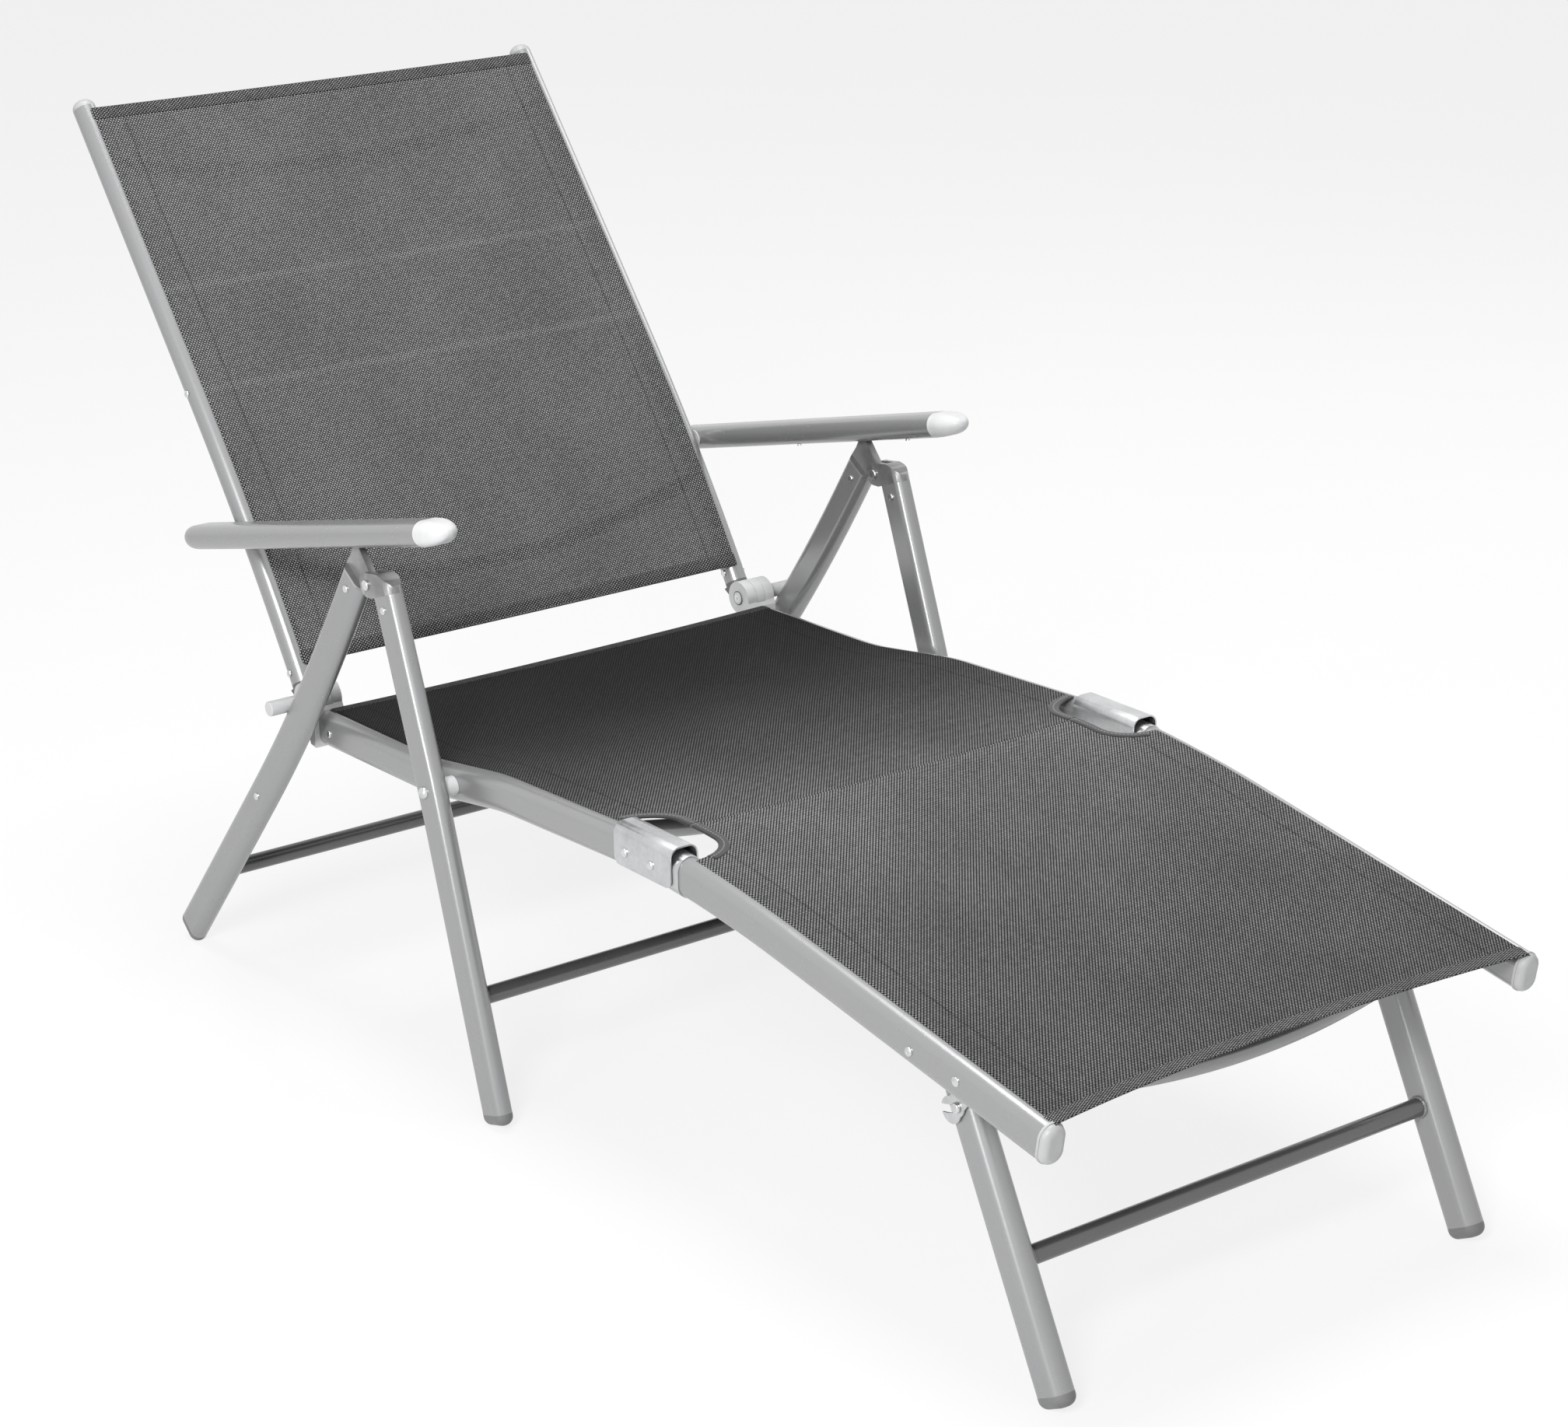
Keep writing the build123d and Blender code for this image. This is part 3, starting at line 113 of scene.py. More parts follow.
class Tree:
    """A node tree, with short calls for the nodes that the looks use."""

    def __init__(self, tree: bpy.types.NodeTree) -> None:
        """Empties the tree.

        Args:
            tree: the node tree.
        """
        tree.nodes.clear()
        self.nodes, self.links = tree.nodes, tree.links

    def join(self, value: Value, socket: Socket) -> None:
        """Links a value to a socket, or sets the socket to it if it's a plain one."""
        if isinstance(value, Socket):
            self.links.new(value, socket)
        else:
            socket.default_value = value

    def fill(self, node: bpy.types.Node, values: dict[str, Value]) -> None:
        """Links or sets inputs of a node, an underscore standing for a space."""
        for name, value in values.items():
            self.join(value, node.inputs[name.replace("_", " ")])

    def node(self, kind: str, *first: Value, **named: Value) -> bpy.types.Node:
        """Adds a node.

        Args:
            kind: its kind, without the beginning that all kinds share.
            first: its first inputs, in order.
            named: other inputs by name.

        Returns:
            The node.
        """
        made = self.nodes.new("ShaderNode" + kind)
        for socket, value in zip(made.inputs, first):
            self.join(value, socket)
        self.fill(made, named)
        return made

    def sum(self, kind: str, first: Value, second: Value = 0.0) -> Socket:
        """One step of arithmetic.

        Args:
            kind: the name of the step, such as MULTIPLY.
            first: first value.
            second: second value, for steps that have one.

        Returns:
            The result.
        """
        made = self.node("Math", first, second)
        made.operation = kind
        return made.outputs[0]

    def times(self, first: Value, second: Value) -> Socket:
        """The product of two values."""
        return self.sum("MULTIPLY", first, second)

    def apart(self, first: Socket, second: float) -> Socket:
        """How far a value is from a number."""
        return self.sum("ABSOLUTE", self.sum("SUBTRACT", first, second))

    def wave(self, value: Socket, turn: float) -> Socket:
        """The sine of a value, turned by an angle for each unit of it."""
        return self.sum("SINE", self.times(value, turn))

    def place(self, kind: str = "Object") -> Socket:
        """Coordinates fixed to the piece."""
        return self.node("TexCoord").outputs[kind]

    def axes(self, kind: str = "Object") -> Sequence[Socket]:
        """The three coordinates, each by itself."""
        return self.node("SeparateXYZ", self.place(kind)).outputs

    def noise(
        self, scale: float | Triple, detail: float = 3.0, kind: str = "Object", rough: float = 0.55
    ) -> Socket:
        """Smooth noise from zero to one.

        Args:
            scale: lumps to a metre, on all axes or on each.
            detail: layers of finer lumps.
            kind: which coordinates.
            rough: weight of the finer lumps.

        Returns:
            The noise's value.
        """
        where = self.place(kind)
        if isinstance(scale, tuple):
            where = self.node("Mapping", Vector=where, Scale=scale).outputs[0]
            scale = 1.0
        made = self.node("TexNoise", Vector=where, Scale=scale, Detail=detail, Roughness=rough)
        return made.outputs[0]

    def spread(
        self, value: Socket, low: float, high: float, to_low: float = 0.0, to_high: float = 1.0
    ) -> Socket:
        """Maps one range of a value to another, and holds it there.

        Args:
            value: what is mapped.
            low: value that maps to to_low.
            high: value that maps to to_high.
            to_low: first result.
            to_high: last result.

        Returns:
            The mapped value.
        """
        return self.node("MapRange", value, low, high, to_low, to_high).outputs[0]

    def blend(self, share: Socket, first: Value, second: Value) -> Socket:
        """Mixes two colours.

        Args:
            share: weight of the second.
            first: colour at zero.
            second: colour at one.

        Returns:
            The mixed colour.
        """
        made = self.node("Mix", share)
        made.data_type = "RGBA"
        self.join(first, made.inputs[6])
        self.join(second, made.inputs[7])
        return made.outputs[2]


class Shade(Tree):
    """One material's tree."""

    def __init__(self, name: str) -> None:
        """Starts an empty material.

        Args:
            name: the material's name.
        """
        self.material = bpy.data.materials.new(name)
        self.material.use_nodes = True
        super().__init__(self.material.node_tree)
        self.out = self.node("OutputMaterial")
        self.shader = self.node("BsdfPrincipled")
        self.show(self.shader.outputs[0])

    def show(self, shader: Socket) -> None:
        """Makes a shader the one that is seen."""
        self.links.new(shader, self.out.inputs[0])

    def surface(self, **values: Value) -> None:
        """Links or sets the shader's own sockets, an underscore standing for a space."""
        self.fill(self.shader, values)

    def relief(self, height: Socket, depth: float, strength: float) -> None:
        """Bumps the surface.

        Args:
            height: height from zero to one.
            depth: metres that a height of one stands for.
            strength: weight of the bump.
        """
        bump = self.node("Bump", Distance=depth, Strength=strength, Height=height)
        self.surface(Normal=bump.outputs[0])


@dataclass(frozen=True)
class PaintedTube:
    """Glossy metallic powder coat with fine flakes and light handling marks."""

    name: str
    tone: float
    metal: float
    gloss: float
    flake_scale: float = 2400.0
    cloud_scale: float = 9.0
    mark_scale: Triple = (160.0, 45.0, 60.0)
    grain_scale: float = 620.0
    grain_depth: float = 0.00003

    def make(self) -> Material:
        """Builds the material."""
        paint = Shade(self.name)
        paint.surface(Metallic=self.metal, Coat_Weight=0.12, Coat_Roughness=0.16, Coat_IOR=1.5)
        flakes = paint.spread(paint.noise(self.flake_scale, 1.0), 0.3, 0.75)
        clouds = paint.noise(self.cloud_scale)
        base = paint.blend(flakes, grey(self.tone * 0.96, 0.015), grey(self.tone * 1.05, 0.02))
        marks = paint.noise(self.mark_scale, 4.0, rough=0.7)
        rubbed = paint.spread(marks, 0.6, 0.9, 0.0, 0.12)
        clouded = paint.spread(clouds, 0.1, 0.9, 0.0, 0.7)
        colour = paint.blend(clouded, base, grey(self.tone * 0.93, 0.02))
        paint.surface(Base_Color=paint.blend(rubbed, colour, grey(self.tone * 1.3, 0.01)))
        wear = paint.times(rubbed, 0.25)
        soft = paint.spread(clouds, 0.1, 0.9, self.gloss - 0.04, self.gloss + 0.07)
        paint.surface(Roughness=paint.sum("ADD", soft, wear))
        paint.relief(paint.noise(self.grain_scale, 2.0), self.grain_depth, 0.3)
        return paint.material


@dataclass(frozen=True)
class MouldedPlastic:
    """Moulded plastic with a faint grain and flow marks.

    Attributes:
        hub: side view place and radius, in metres, of a light round hub on a darker piece.
    """

    name: str
    tone: float
    sheen: Sheen = Sheen.SATIN
    hub: Triple | None = None
    hub_edge: float = 0.0006
    cloud_scale: float = 30.0
    flow_scale: Triple = (90.0, 260.0, 90.0)
    grain_scale: float = 1400.0
    grain_depth: float = 0.00003

    def make(self) -> Material:
        """Builds the material."""
        resin = Shade(self.name)
        resin.surface(Metallic=0.0, IOR=1.5, Specular_IOR_Level=0.45)
        clouds = resin.noise(self.cloud_scale)
        flow = resin.noise(self.flow_scale)
        clouded = resin.spread(clouds, *USUAL)
        base = resin.blend(clouded, grey(self.tone * 0.93, 0.01), grey(self.tone * 1.05, 0.02))
        streaks = resin.spread(flow, 0.5, 0.75, 0.0, 0.35)
        colour = resin.blend(streaks, base, grey(self.tone * 0.86, 0.02))
        if self.hub:
            colour = resin.blend(self._past_hub(resin), colour, grey(self.tone * 0.2, 0.02))
        resin.surface(Base_Color=colour)
        rough = self.sheen.value
        resin.surface(Roughness=resin.spread(flow, *USUAL, rough - 0.04, rough + 0.08))
        resin.relief(resin.noise(self.grain_scale, 2.0), self.grain_depth, 0.4)
        return resin.material

    def _past_hub(self, resin: Shade) -> Socket:
        """Tells the light hub from the darker arm outside it.

        Args:
            resin: the material being made.

        Returns:
            Zero on the hub and one on the arm.
        """
        assert self.hub
        y, z, radius = self.hub
        place = resin.axes()
        along = resin.sum("POWER", resin.sum("SUBTRACT", place[1], y), 2.0)
        up = resin.sum("POWER", resin.sum("SUBTRACT", place[2], z), 2.0)
        away = resin.sum("SQRT", resin.sum("ADD", along, up))
        return resin.spread(away, radius, radius + self.hub_edge)


@dataclass(frozen=True)
class SpangledZinc:
    """Zinc plate with its crystal spangle, folding scratches and a soft bright face."""

    name: str = "spangled_zinc"
    tone: float = 0.56
    crystal_scale: float = 260.0
    fine_scale: float = 900.0
    cloud_scale: float = 34.0
    scratch_scale: Triple = (1500.0, 120.0, 900.0)
    depth: float = 0.00004

    def make(self) -> Material:
        """Builds the material."""
        zinc = Shade(self.name)
        zinc.surface(Metallic=1.0)
        cells = zinc.node("TexVoronoi", Vector=zinc.place(), Scale=self.crystal_scale)
        crystal = zinc.node("SeparateColor", cells.outputs["Color"]).outputs
        fine = zinc.noise(self.fine_scale)
        cloud = zinc.spread(zinc.noise(self.cloud_scale, rough=0.5), *USUAL)
        mixed = zinc.sum("ADD", zinc.times(crystal[0], 0.35), zinc.times(cloud, 0.65))
        broad = zinc.blend(mixed, grey(self.tone * 0.9, 0.02), grey(self.tone * 1.12, 0.03))
        scratch = zinc.noise(self.scratch_scale, 2.0)
        lines = zinc.spread(scratch, 0.64, 0.76, 0.0, 0.25)
        zinc.surface(Base_Color=zinc.blend(lines, broad, grey(0.85)))
        zinc.surface(Roughness=zinc.spread(cloud, 0.0, 1.0, 0.24, 0.38))
        zinc.relief(zinc.sum("ADD", zinc.times(crystal[2], 0.12), fine), self.depth, 0.5)
        return zinc.material


@dataclass(frozen=True)
class PlatedSteel:
    """Bright plated rivets, screws and pins, with turning marks and a little tarnish."""

    name: str = "plated_steel"
    tone: float = 0.6
    tarnish_scale: float = 140.0
    mark_scale: float = 2600.0
    depth: float = 0.00003

    def make(self) -> Material:
        """Builds the material."""
        steel = Shade(self.name)
        steel.surface(Metallic=1.0)
        tarnish = steel.spread(steel.noise(self.tarnish_scale, 4.0), 0.45, 0.7, 0.0, 0.6)
        colour = steel.blend(tarnish, grey(self.tone * 1.15, 0.01), grey(self.tone * 0.62, 0.01))
        steel.surface(Base_Color=colour)
        steel.surface(Roughness=steel.spread(tarnish, 0.0, 0.6, 0.2, 0.38))
        steel.relief(steel.noise(self.mark_scale, 2.0), self.depth, 0.5)
        return steel.material


@dataclass(frozen=True)
class CastGrey:
    """Dark coated casting with an orange-peel skin and edges rubbed brighter."""

    name: str = "cast_grey"
    tone: float = 0.19
    blotch_scale: float = 60.0
    gloss_scale: float = 200.0
    peel_scale: float = 900.0
    depth: float = 0.0001

    def make(self) -> Material:
        """Builds the material."""
        cast = Shade(self.name)
        cast.surface(Metallic=0.45, Coat_Weight=0.25, Coat_Roughness=0.25)
        edge = cast.node("NewGeometry").outputs["Pointiness"]
        bright = cast.spread(edge, 0.52, 0.6, 0.0, 0.7)
        blotch = cast.spread(cast.noise(self.blotch_scale, 4.0), *USUAL)
        colour = cast.blend(blotch, grey(self.tone * 0.8), grey(self.tone * 1.3))
        cast.surface(Base_Color=cast.blend(bright, colour, grey(self.tone * 2.2)))
        cast.surface(Roughness=cast.spread(cast.noise(self.gloss_scale), *USUAL, 0.28, 0.4))
        cast.relief(cast.noise(self.peel_scale), self.depth, 0.6)
        return cast.material


@dataclass(frozen=True)
class MeshCloth:
    """Stretched mesh of coated yarns, drawn in the cloth's own measure.

    The cloth's map runs in metres, across the lounger and along it.

    Attributes:
        dark: tone of the gaps.
        light: tone of the yarns' tops.
        pitch: spacing of the yarns across, in metres.
        bead: spacing of the rows along, in metres.
        see_through: how much light the gaps let through.
        seam_at: distance of the sewn lines from the middle, in metres, or zero for none.
        painted_bands: places of lighter bands painted across the cloth, standing in for the light
            and shade that the spreader bars behind it give, in metres.
        painted_sheen: painted sheen along the cloth, as the share of light yarn at the start, at
            the end, and where the end is, in metres.
        curve: power of the change between the two.
    """

    name: str
    weave: Weave
    dark: float
    light: float
    pitch: float = 0.0034
    bead: float = 0.0021
    see_through: float = 0.0
    seam_at: float = 0.0
    painted_bands: tuple[float, ...] = ()
    painted_sheen: Triple = (1.0, 1.0, 1.0)
    curve: float = 1.0
    slub_scale: Triple = (420.0, 60.0, 1.0)
    cross_scale: Triple = (40.0, 420.0, 1.0)
    cloud_scale: Triple = (7.0, 5.0, 1.0)
    band_half: float = 0.006
    stitch_pitch: float = 0.0045
    depth: float = 0.0004

    def make(self) -> Material:
        """Builds the material."""
        cloth = Shade(self.name)
        cloth.surface(Metallic=0.0, IOR=1.48, Specular_IOR_Level=0.07)
        across, length, _ = cloth.axes("UV")
        rib = cloth.sum("DIVIDE", across, self.pitch)
        row = cloth.sum("DIVIDE", length, self.bead)
        thread = self._thread(cloth, rib, row)
        share = cloth.times(thread, self._yarn(cloth, rib, row))
        clouds = cloth.noise(self.cloud_scale, 2.0, "UV")
        share = cloth.times(share, cloth.spread(clouds, *USUAL, 0.86, 1.12))
        # Painted sheen: the yarn is drawn darker or lighter along the cloth for the light that
        # each slope of it catches.
        begin, end, run = self.painted_sheen
        away = cloth.sum("POWER", cloth.spread(length, 0.0, run), self.curve)
        share = cloth.times(share, cloth.spread(away, 0.0, 1.0, begin, end))
        # Painted light and shade: a lighter band of yarn at each place, standing in for the
        # spreader bars behind the cloth.
        for place in self.painted_bands:
            away = cloth.apart(length, place)
            share = cloth.times(share, cloth.spread(away, 0.0, self.band_half, 1.3, 1.0))
        colour = cloth.blend(share, grey(self.dark, 0.02), grey(self.light, 0.01))
        height = thread
        if self.seam_at:
            sewn = self._sewn(cloth, across, length)
            colour = cloth.blend(sewn, colour, grey(self.dark * 0.8))
            height = cloth.sum("SUBTRACT", thread, sewn)
        cloth.surface(Base_Color=colour)
        cloth.surface(Roughness=cloth.spread(share, 0.0, 1.0, 0.78, 0.6))
        cloth.relief(height, self.depth, 0.6)
        if self.see_through:
            self._open_up(cloth, thread)
        return cloth.material

    def _yarn(self, cloth: Shade, rib: Socket, row: Socket) -> Socket:
        """How light the yarns are from place to place.

        Args:
            cloth: the material being made.
            rib: place across, counted in ribs.
            row: place along, counted in rows.

        Returns:
            A factor near one.
        """
        cell = cloth.node("CombineXYZ", cloth.sum("FLOOR", rib), cloth.sum("FLOOR", row))
        rand = cloth.node("TexWhiteNoise", Vector=cell.outputs[0])
        rand.noise_dimensions = "2D"
        slub = cloth.noise(self.slub_scale, 3.0, "UV", 0.7)
        cross = cloth.noise(self.cross_scale, 3.0, "UV", 0.7)
        slub = cloth.spread(slub, 0.25, 0.75, 0.8, 1.1)
        lift = cloth.sum("ADD", slub, cloth.spread(cross, 0.3, 0.8, -0.08, 0.1))
        return cloth.times(lift, cloth.spread(rand.outputs[0], 0.0, 1.0, 0.8, 1.2))

    def _thread(self, cloth: Shade, rib: Socket, row: Socket) -> Socket:
        """Height of the yarns, from the gaps to the tops of the beads.

        Args:
            cloth: the material being made.
            rib: place across, counted in ribs.
            row: place along, counted in rows, each shifted by half a rib.

        Returns:
            The height, from zero to one.
        """
        shift = cloth.times(cloth.sum("FLOOR", row), 0.5)
        lane = cloth.sum("FRACT", cloth.sum("ADD", rib, shift))
        crown = cloth.wave(lane, math.pi)
        beads = cloth.wave(cloth.sum("FRACT", row), math.pi)
        if self.weave is Weave.RIBBED:
            crown = cloth.spread(crown, 0.55, 0.93)
            return cloth.times(crown, cloth.spread(beads, 0.0, 0.85, 0.3, 1.0))
        return cloth.times(cloth.spread(crown, 0.35, 0.85), cloth.spread(beads, 0.3, 0.92))

    def _sewn(self, cloth: Shade, across: Socket, length: Socket) -> Socket:
        """Dark sewn line with its stitches beside each rail.

        Args:
            cloth: the material being made.
            across: place across, in metres.
            length: place along, in metres.

        Returns:
            How much of the line shows, from zero to one.
        """
        away = cloth.apart(cloth.sum("ABSOLUTE", across), self.seam_at)
        line = cloth.spread(away, 0.0007, 0.0018, 0.5, 0.0)
        stitch = cloth.wave(length, 2 * math.pi / self.stitch_pitch)
        return cloth.times(line, cloth.spread(stitch, -0.4, 0.5, 0.35, 1.0))

    def _open_up(self, cloth: Shade, thread: Socket) -> None:
        """Lets light through the gaps between the yarns.

        Args:
            cloth: the material being made.
            thread: height of the yarns.
        """
        gap = cloth.node("BsdfTransparent").outputs[0]
        share = cloth.spread(thread, 0.0, 0.12, self.see_through, 0.0)
        cloth.show(cloth.node("MixShader", share, cloth.shader.outputs[0], gap).outputs[0])


@dataclass(frozen=True)
class BindingTape:
    """Woven tape sewn round a cut-out, with a light stitch line down its middle.

    Attributes:
        middle: place of the stitch line across the tape's map, in metres.
    """

    name: str
    tone: float
    middle: float
    weft: float = 0.0014
    warp: float = 0.0011
    stitch: float = 0.004
    stitch_tone: float = 0.22
    depth: float = 0.0002

    def make(self) -> Material:
        """Builds the material."""
        tape = Shade(self.name)
        tape.surface(Metallic=0.0, Sheen_Weight=0.2, Specular_IOR_Level=0.4)
        across, length, _ = tape.axes("UV")
        weft = tape.wave(length, 2 * math.pi / self.weft)
        warp = tape.wave(across, 2 * math.pi / self.warp)
        height = tape.spread(tape.times(weft, warp), -1.0, 1.0)
        colour = tape.blend(height, grey(self.tone * 0.6), grey(self.tone * 1.7))
        line = tape.spread(tape.apart(across, self.middle), 0.0004, 0.0009, 1.0, 0.0)
        dash = tape.spread(tape.wave(length, 2 * math.pi / self.stitch), -0.3, 0.2)
        colour = tape.blend(tape.times(line, dash), colour, grey(self.stitch_tone))
        tape.surface(Base_Color=colour)
        tape.surface(Roughness=0.6)
        tape.relief(height, self.depth, 0.6)
        return tape.material


class Finish(Protocol):
    """Any finish that can build its material."""

    def make(self) -> Material:
        """Builds the material."""


def built(finish: Finish) -> Material:
    """A field that holds a finish's material, built with the finishes."""
    return field(default_factory=finish.make)


@dataclass
class Finishes:
    """Every finish of the lounger, built once."""

    paint: Material = built(PaintedTube("silver_paint", 0.31, 0.45, 0.25))
    crossbar: Material = built(PaintedTube("crossbar_paint", 0.13, 0.5, 0.26))
    cap: Material = built(MouldedPlastic("light_cap", 0.62))
    end_cap: Material = built(MouldedPlastic("end_cap_plastic", 0.42))
    hinge: Material = built(MouldedPlastic("hinge_plastic", 0.52))
    arm: Material = built(
        MouldedPlastic("hinge_arm_plastic", 0.52, hub=(0.35945, 0.3393, 0.0212)))
    # Painted shadow: near-black rings round the hinge screws, for the shade in their recesses.
    shadow: Material = built(MouldedPlastic("hinge_recess_painted_shadow", 0.05, Sheen.MATT))
    foot: Material = built(MouldedPlastic("foot_plastic", 0.17))
    rack: Material = built(MouldedPlastic("rack_plastic", 0.012, Sheen.MATT))
    cast: Material = built(CastGrey())
    zinc: Material = built(SpangledZinc())
    steel: Material = built(PlatedSteel())
    weld: Material = built(PaintedTube("painted_weld", 0.22, 0.3, 0.4))
    # The seat and foot cloths carry a painted sheen, their yarn drawn darker or lighter along them
    # for how each slope catches the light.
    seat_cloth: Material = built(MeshCloth(
        "seat_mesh", Weave.RIBBED, 0.004, 0.43, seam_at=0.247, painted_sheen=(0.06, 0.68, 0.58), curve=2.2))
    foot_cloth: Material = built(MeshCloth(
        "foot_mesh", Weave.RIBBED, 0.004, 0.46, seam_at=0.247, painted_sheen=(0.74, 0.48, 0.55)))
    # The back cloth's two bands are painted light and shade from the spreader bars behind it.
    back_cloth: Material = built(MeshCloth(
        "back_mesh", Weave.DOTTED, 0.003, 0.36, see_through=0.25, seam_at=0.246,
        painted_bands=(0.225, 0.345)))
    hem: Material = built(MeshCloth("hem_mesh", Weave.RIBBED, 0.004, 0.28, 0.0022, 0.0026))
    # Painted shade: the seat's rear hem is a darker copy of the hem, to match the painted sheen at
    # the seat's rear.
    shaded_seat_hem: Material = built(
        MeshCloth("seat_hem_mesh", Weave.RIBBED, 0.006, 0.09, 0.0022, 0.0026))
    back_hem: Material = built(
        MeshCloth("back_hem_mesh", Weave.DOTTED, 0.003, 0.28, 0.0032, 0.0022))
    tape: Material = built(BindingTape("binding_tape", 0.01, 0.0055))


def flat_side(place: Side) -> Vector:
    """A side view place in millimetres as a point of the middle plane, in metres."""
    return Vector((0.0, (place[0] + SHIFT) * MM, place[1] * MM))


@dataclass
class SideLine:
    """A tube's middle line seen from the side, with its corners rounded.

    Attributes:
        corners: places in millimetres, from one end to the other.
        radii: bend radius at each inner corner, in millimetres.
    """

    corners: tuple[Side, ...]
    radii: tuple[float, ...]

    def points(self, step: float) -> list[Vector]:
        """Even points along the rounded line.

        Args:
            step: spacing in millimetres.

        Returns:
            Points in the middle plane, in metres.
        """
        raw = [flat_side(p) for p in self.corners]
        line = [raw[0]]
        for before, corner, after, radius in zip(raw, raw[1:], raw[2:], self.radii):
            back = (before - corner).normalized()
            on = (after - corner).normalized()
            turn = math.pi - back.angle(on)
            reach = radius * MM * math.tan(turn / 2)
            centre = corner + (back + on).normalized() * (radius * MM / math.cos(turn / 2))
            first = corner + back * reach - centre
            last = corner + on * reach - centre
            line += [
                centre + first.lerp(last, i / ARC_STEPS).normalized() * radius * MM
                for i in range(ARC_STEPS + 1)
            ]
        line.append(raw[-1])
        return evenly(line, step * MM)

    def lifted(self, height: float, step: float) -> list[tuple[Vector, Vector]]:
        """Points moved off the line to the side that the cloth lies on.

        Args:
            height: distance in millimetres.
            step: spacing in millimetres.

        Returns:
            Each point with the direction that it moved in.
        """
        line = self.points(step)
        moved = []
        for i, point in enumerate(line):
            up = Vector((1, 0, 0)).cross(tangent_at(line, i))
            up = -up if up.z < 0 else up
            moved.append((point + up * height * MM, up))
        return moved


def tangent_at(line: Sequence[Vector], place: int) -> Vector:
    """Direction of a line at one of its points, from the points beside it."""
    last = len(line) - 1
    return (line[min(place + 1, last)] - line[max(place - 1, 0)]).normalized()


def evenly(line: Sequence[Vector], step: float) -> list[Vector]:
    """Resamples a line at about even steps.

    Args:
        line: points along the line.
        step: spacing in metres.

    Returns:
        The new points, both ends kept.
    """
    runs = [0.0]
    for a, b in zip(line, line[1:]):
        runs.append(runs[-1] + (b - a).length)
    count = max(1, round(runs[-1] / step))
    made, k = [], 0
    for i in range(count + 1):
        want = runs[-1] * i / count
        while k < len(runs) - 2 and runs[k + 1] < want:
            k += 1
        span = runs[k + 1] - runs[k]
        made.append(line[k].lerp(line[k + 1], (want - runs[k]) / span if span else 0.0))
    return made


def shown(name: str, data: bpy.types.ID) -> Piece:
    """Puts new data in the scene as an object."""
    made = bpy.data.objects.new(name, data)
    bpy.context.scene.collection.objects.link(made)
    return made


def mesh_object(
    name: str, points: Sequence[Vector], faces: Iterable[Sequence[int]],
    uvs: Sequence[Side] | None = None, smooth: bool = True,
) -> Piece:
    """Makes a mesh object in the row frame.

    Args:
        name: the piece's name.
        points: its points.
        faces: its faces, as point numbers.
        uvs: cloth measure of each point.
        smooth: whether it is shaded smooth.

    Returns:
        The object.
    """
    mesh = bpy.data.meshes.new(name)
    mesh.from_pydata([tuple(p) for p in points], [], [tuple(f) for f in faces])
    if uvs:
        layer = mesh.uv_layers.new(name="cloth")
        for loop in mesh.loops:
            layer.data[loop.index].uv = uvs[loop.vertex_index]
    mesh.polygons.foreach_set("use_smooth", [smooth] * len(mesh.polygons))
    return shown(name, mesh)


def grid_faces(rows: int, columns: int, closed: bool = False) -> list[tuple[int, int, int, int]]:
    """Faces of a grid of points, row by row.

    Args:
        rows: rows of points.
        columns: points in a row.
        closed: whether each row is a ring.

    Returns:
        The faces.
    """
    last = columns if closed else columns - 1
    corners = [(c, (c + 1) % columns) for c in range(last)]
    return [
        (start + a, start + b, start + columns + b, start + columns + a)
        for start in range(0, (rows - 1) * columns, columns)
        for a, b in corners
    ]


def finished(made: Piece, material: Material) -> None:
    """Gives a new piece its material."""
    made.data.materials.append(material)


def tube_mesh(
    name: str, path: Sequence[Vector], ups: Sequence[Vector], half: float, thick: float
) -> Piece:
    """A flat oval band carried along a path, such as a hem or a tape.

    Args:
        name: the piece's name.
        path: points along its middle.
        ups: direction of its thickness at each point.
        half: half its width, in metres.
        thick: half its thickness, in metres.

    Returns:
        The object.
    """
    ring, width_power, height_power = 12, 0.45, 0.7
    points, uvs, length = [], [], 0.0
    for i, (point, up) in enumerate(zip(path, ups)):
        tangent = tangent_at(path, i)
        wide = tangent.cross(up).normalized()
        lift = wide.cross(tangent).normalized()
        length += (point - path[i - 1]).length if i else 0.0
        for j in range(ring):
            angle = 2 * math.pi * j / ring
            c, s = math.cos(angle), math.sin(angle)
            share = math.copysign(abs(c) ** width_power, c)
            rise = math.copysign(abs(s) ** height_power, s)
            points.append(point + wide * half * share + lift * thick * rise)
            uvs.append((half * share + half, length))
    faces: list[tuple[int, ...]] = list(grid_faces(len(path), ring, True))
    faces += [tuple(range(ring))[::-1], tuple(range(len(points) - ring, len(points)))]
    return mesh_object(name, points, faces, uvs)


@dataclass
class Notch:
    """The rounded cut-out of the sling's edge round a knee bracket.

    Attributes:
        rear: its rear end, in millimetres along the side view.
        front: its front end.
        inner: how near to the middle plane it reaches.
        round_y: length of its rounded corners.
    """

    rear: float = -527.0
    front: float = -649.0
    inner: float = 236.5
    round_y: float = 34.0

    def edge(self, y: float, outer: float) -> float:
        """Half width of the cloth at a place along it.

        Args:
            y: place along, in millimetres.
            outer: half width outside the cut-out.

        Returns:
            The half width there, in millimetres.
        """
        depth = min(self.rear - y, y - self.front)
        if depth <= 0:
            return outer
        if depth >= self.round_y:
            return self.inner
        share = (self.round_y - depth) / self.round_y
        return self.inner + (outer - self.inner) * (1 - math.sqrt(1 - share * share))


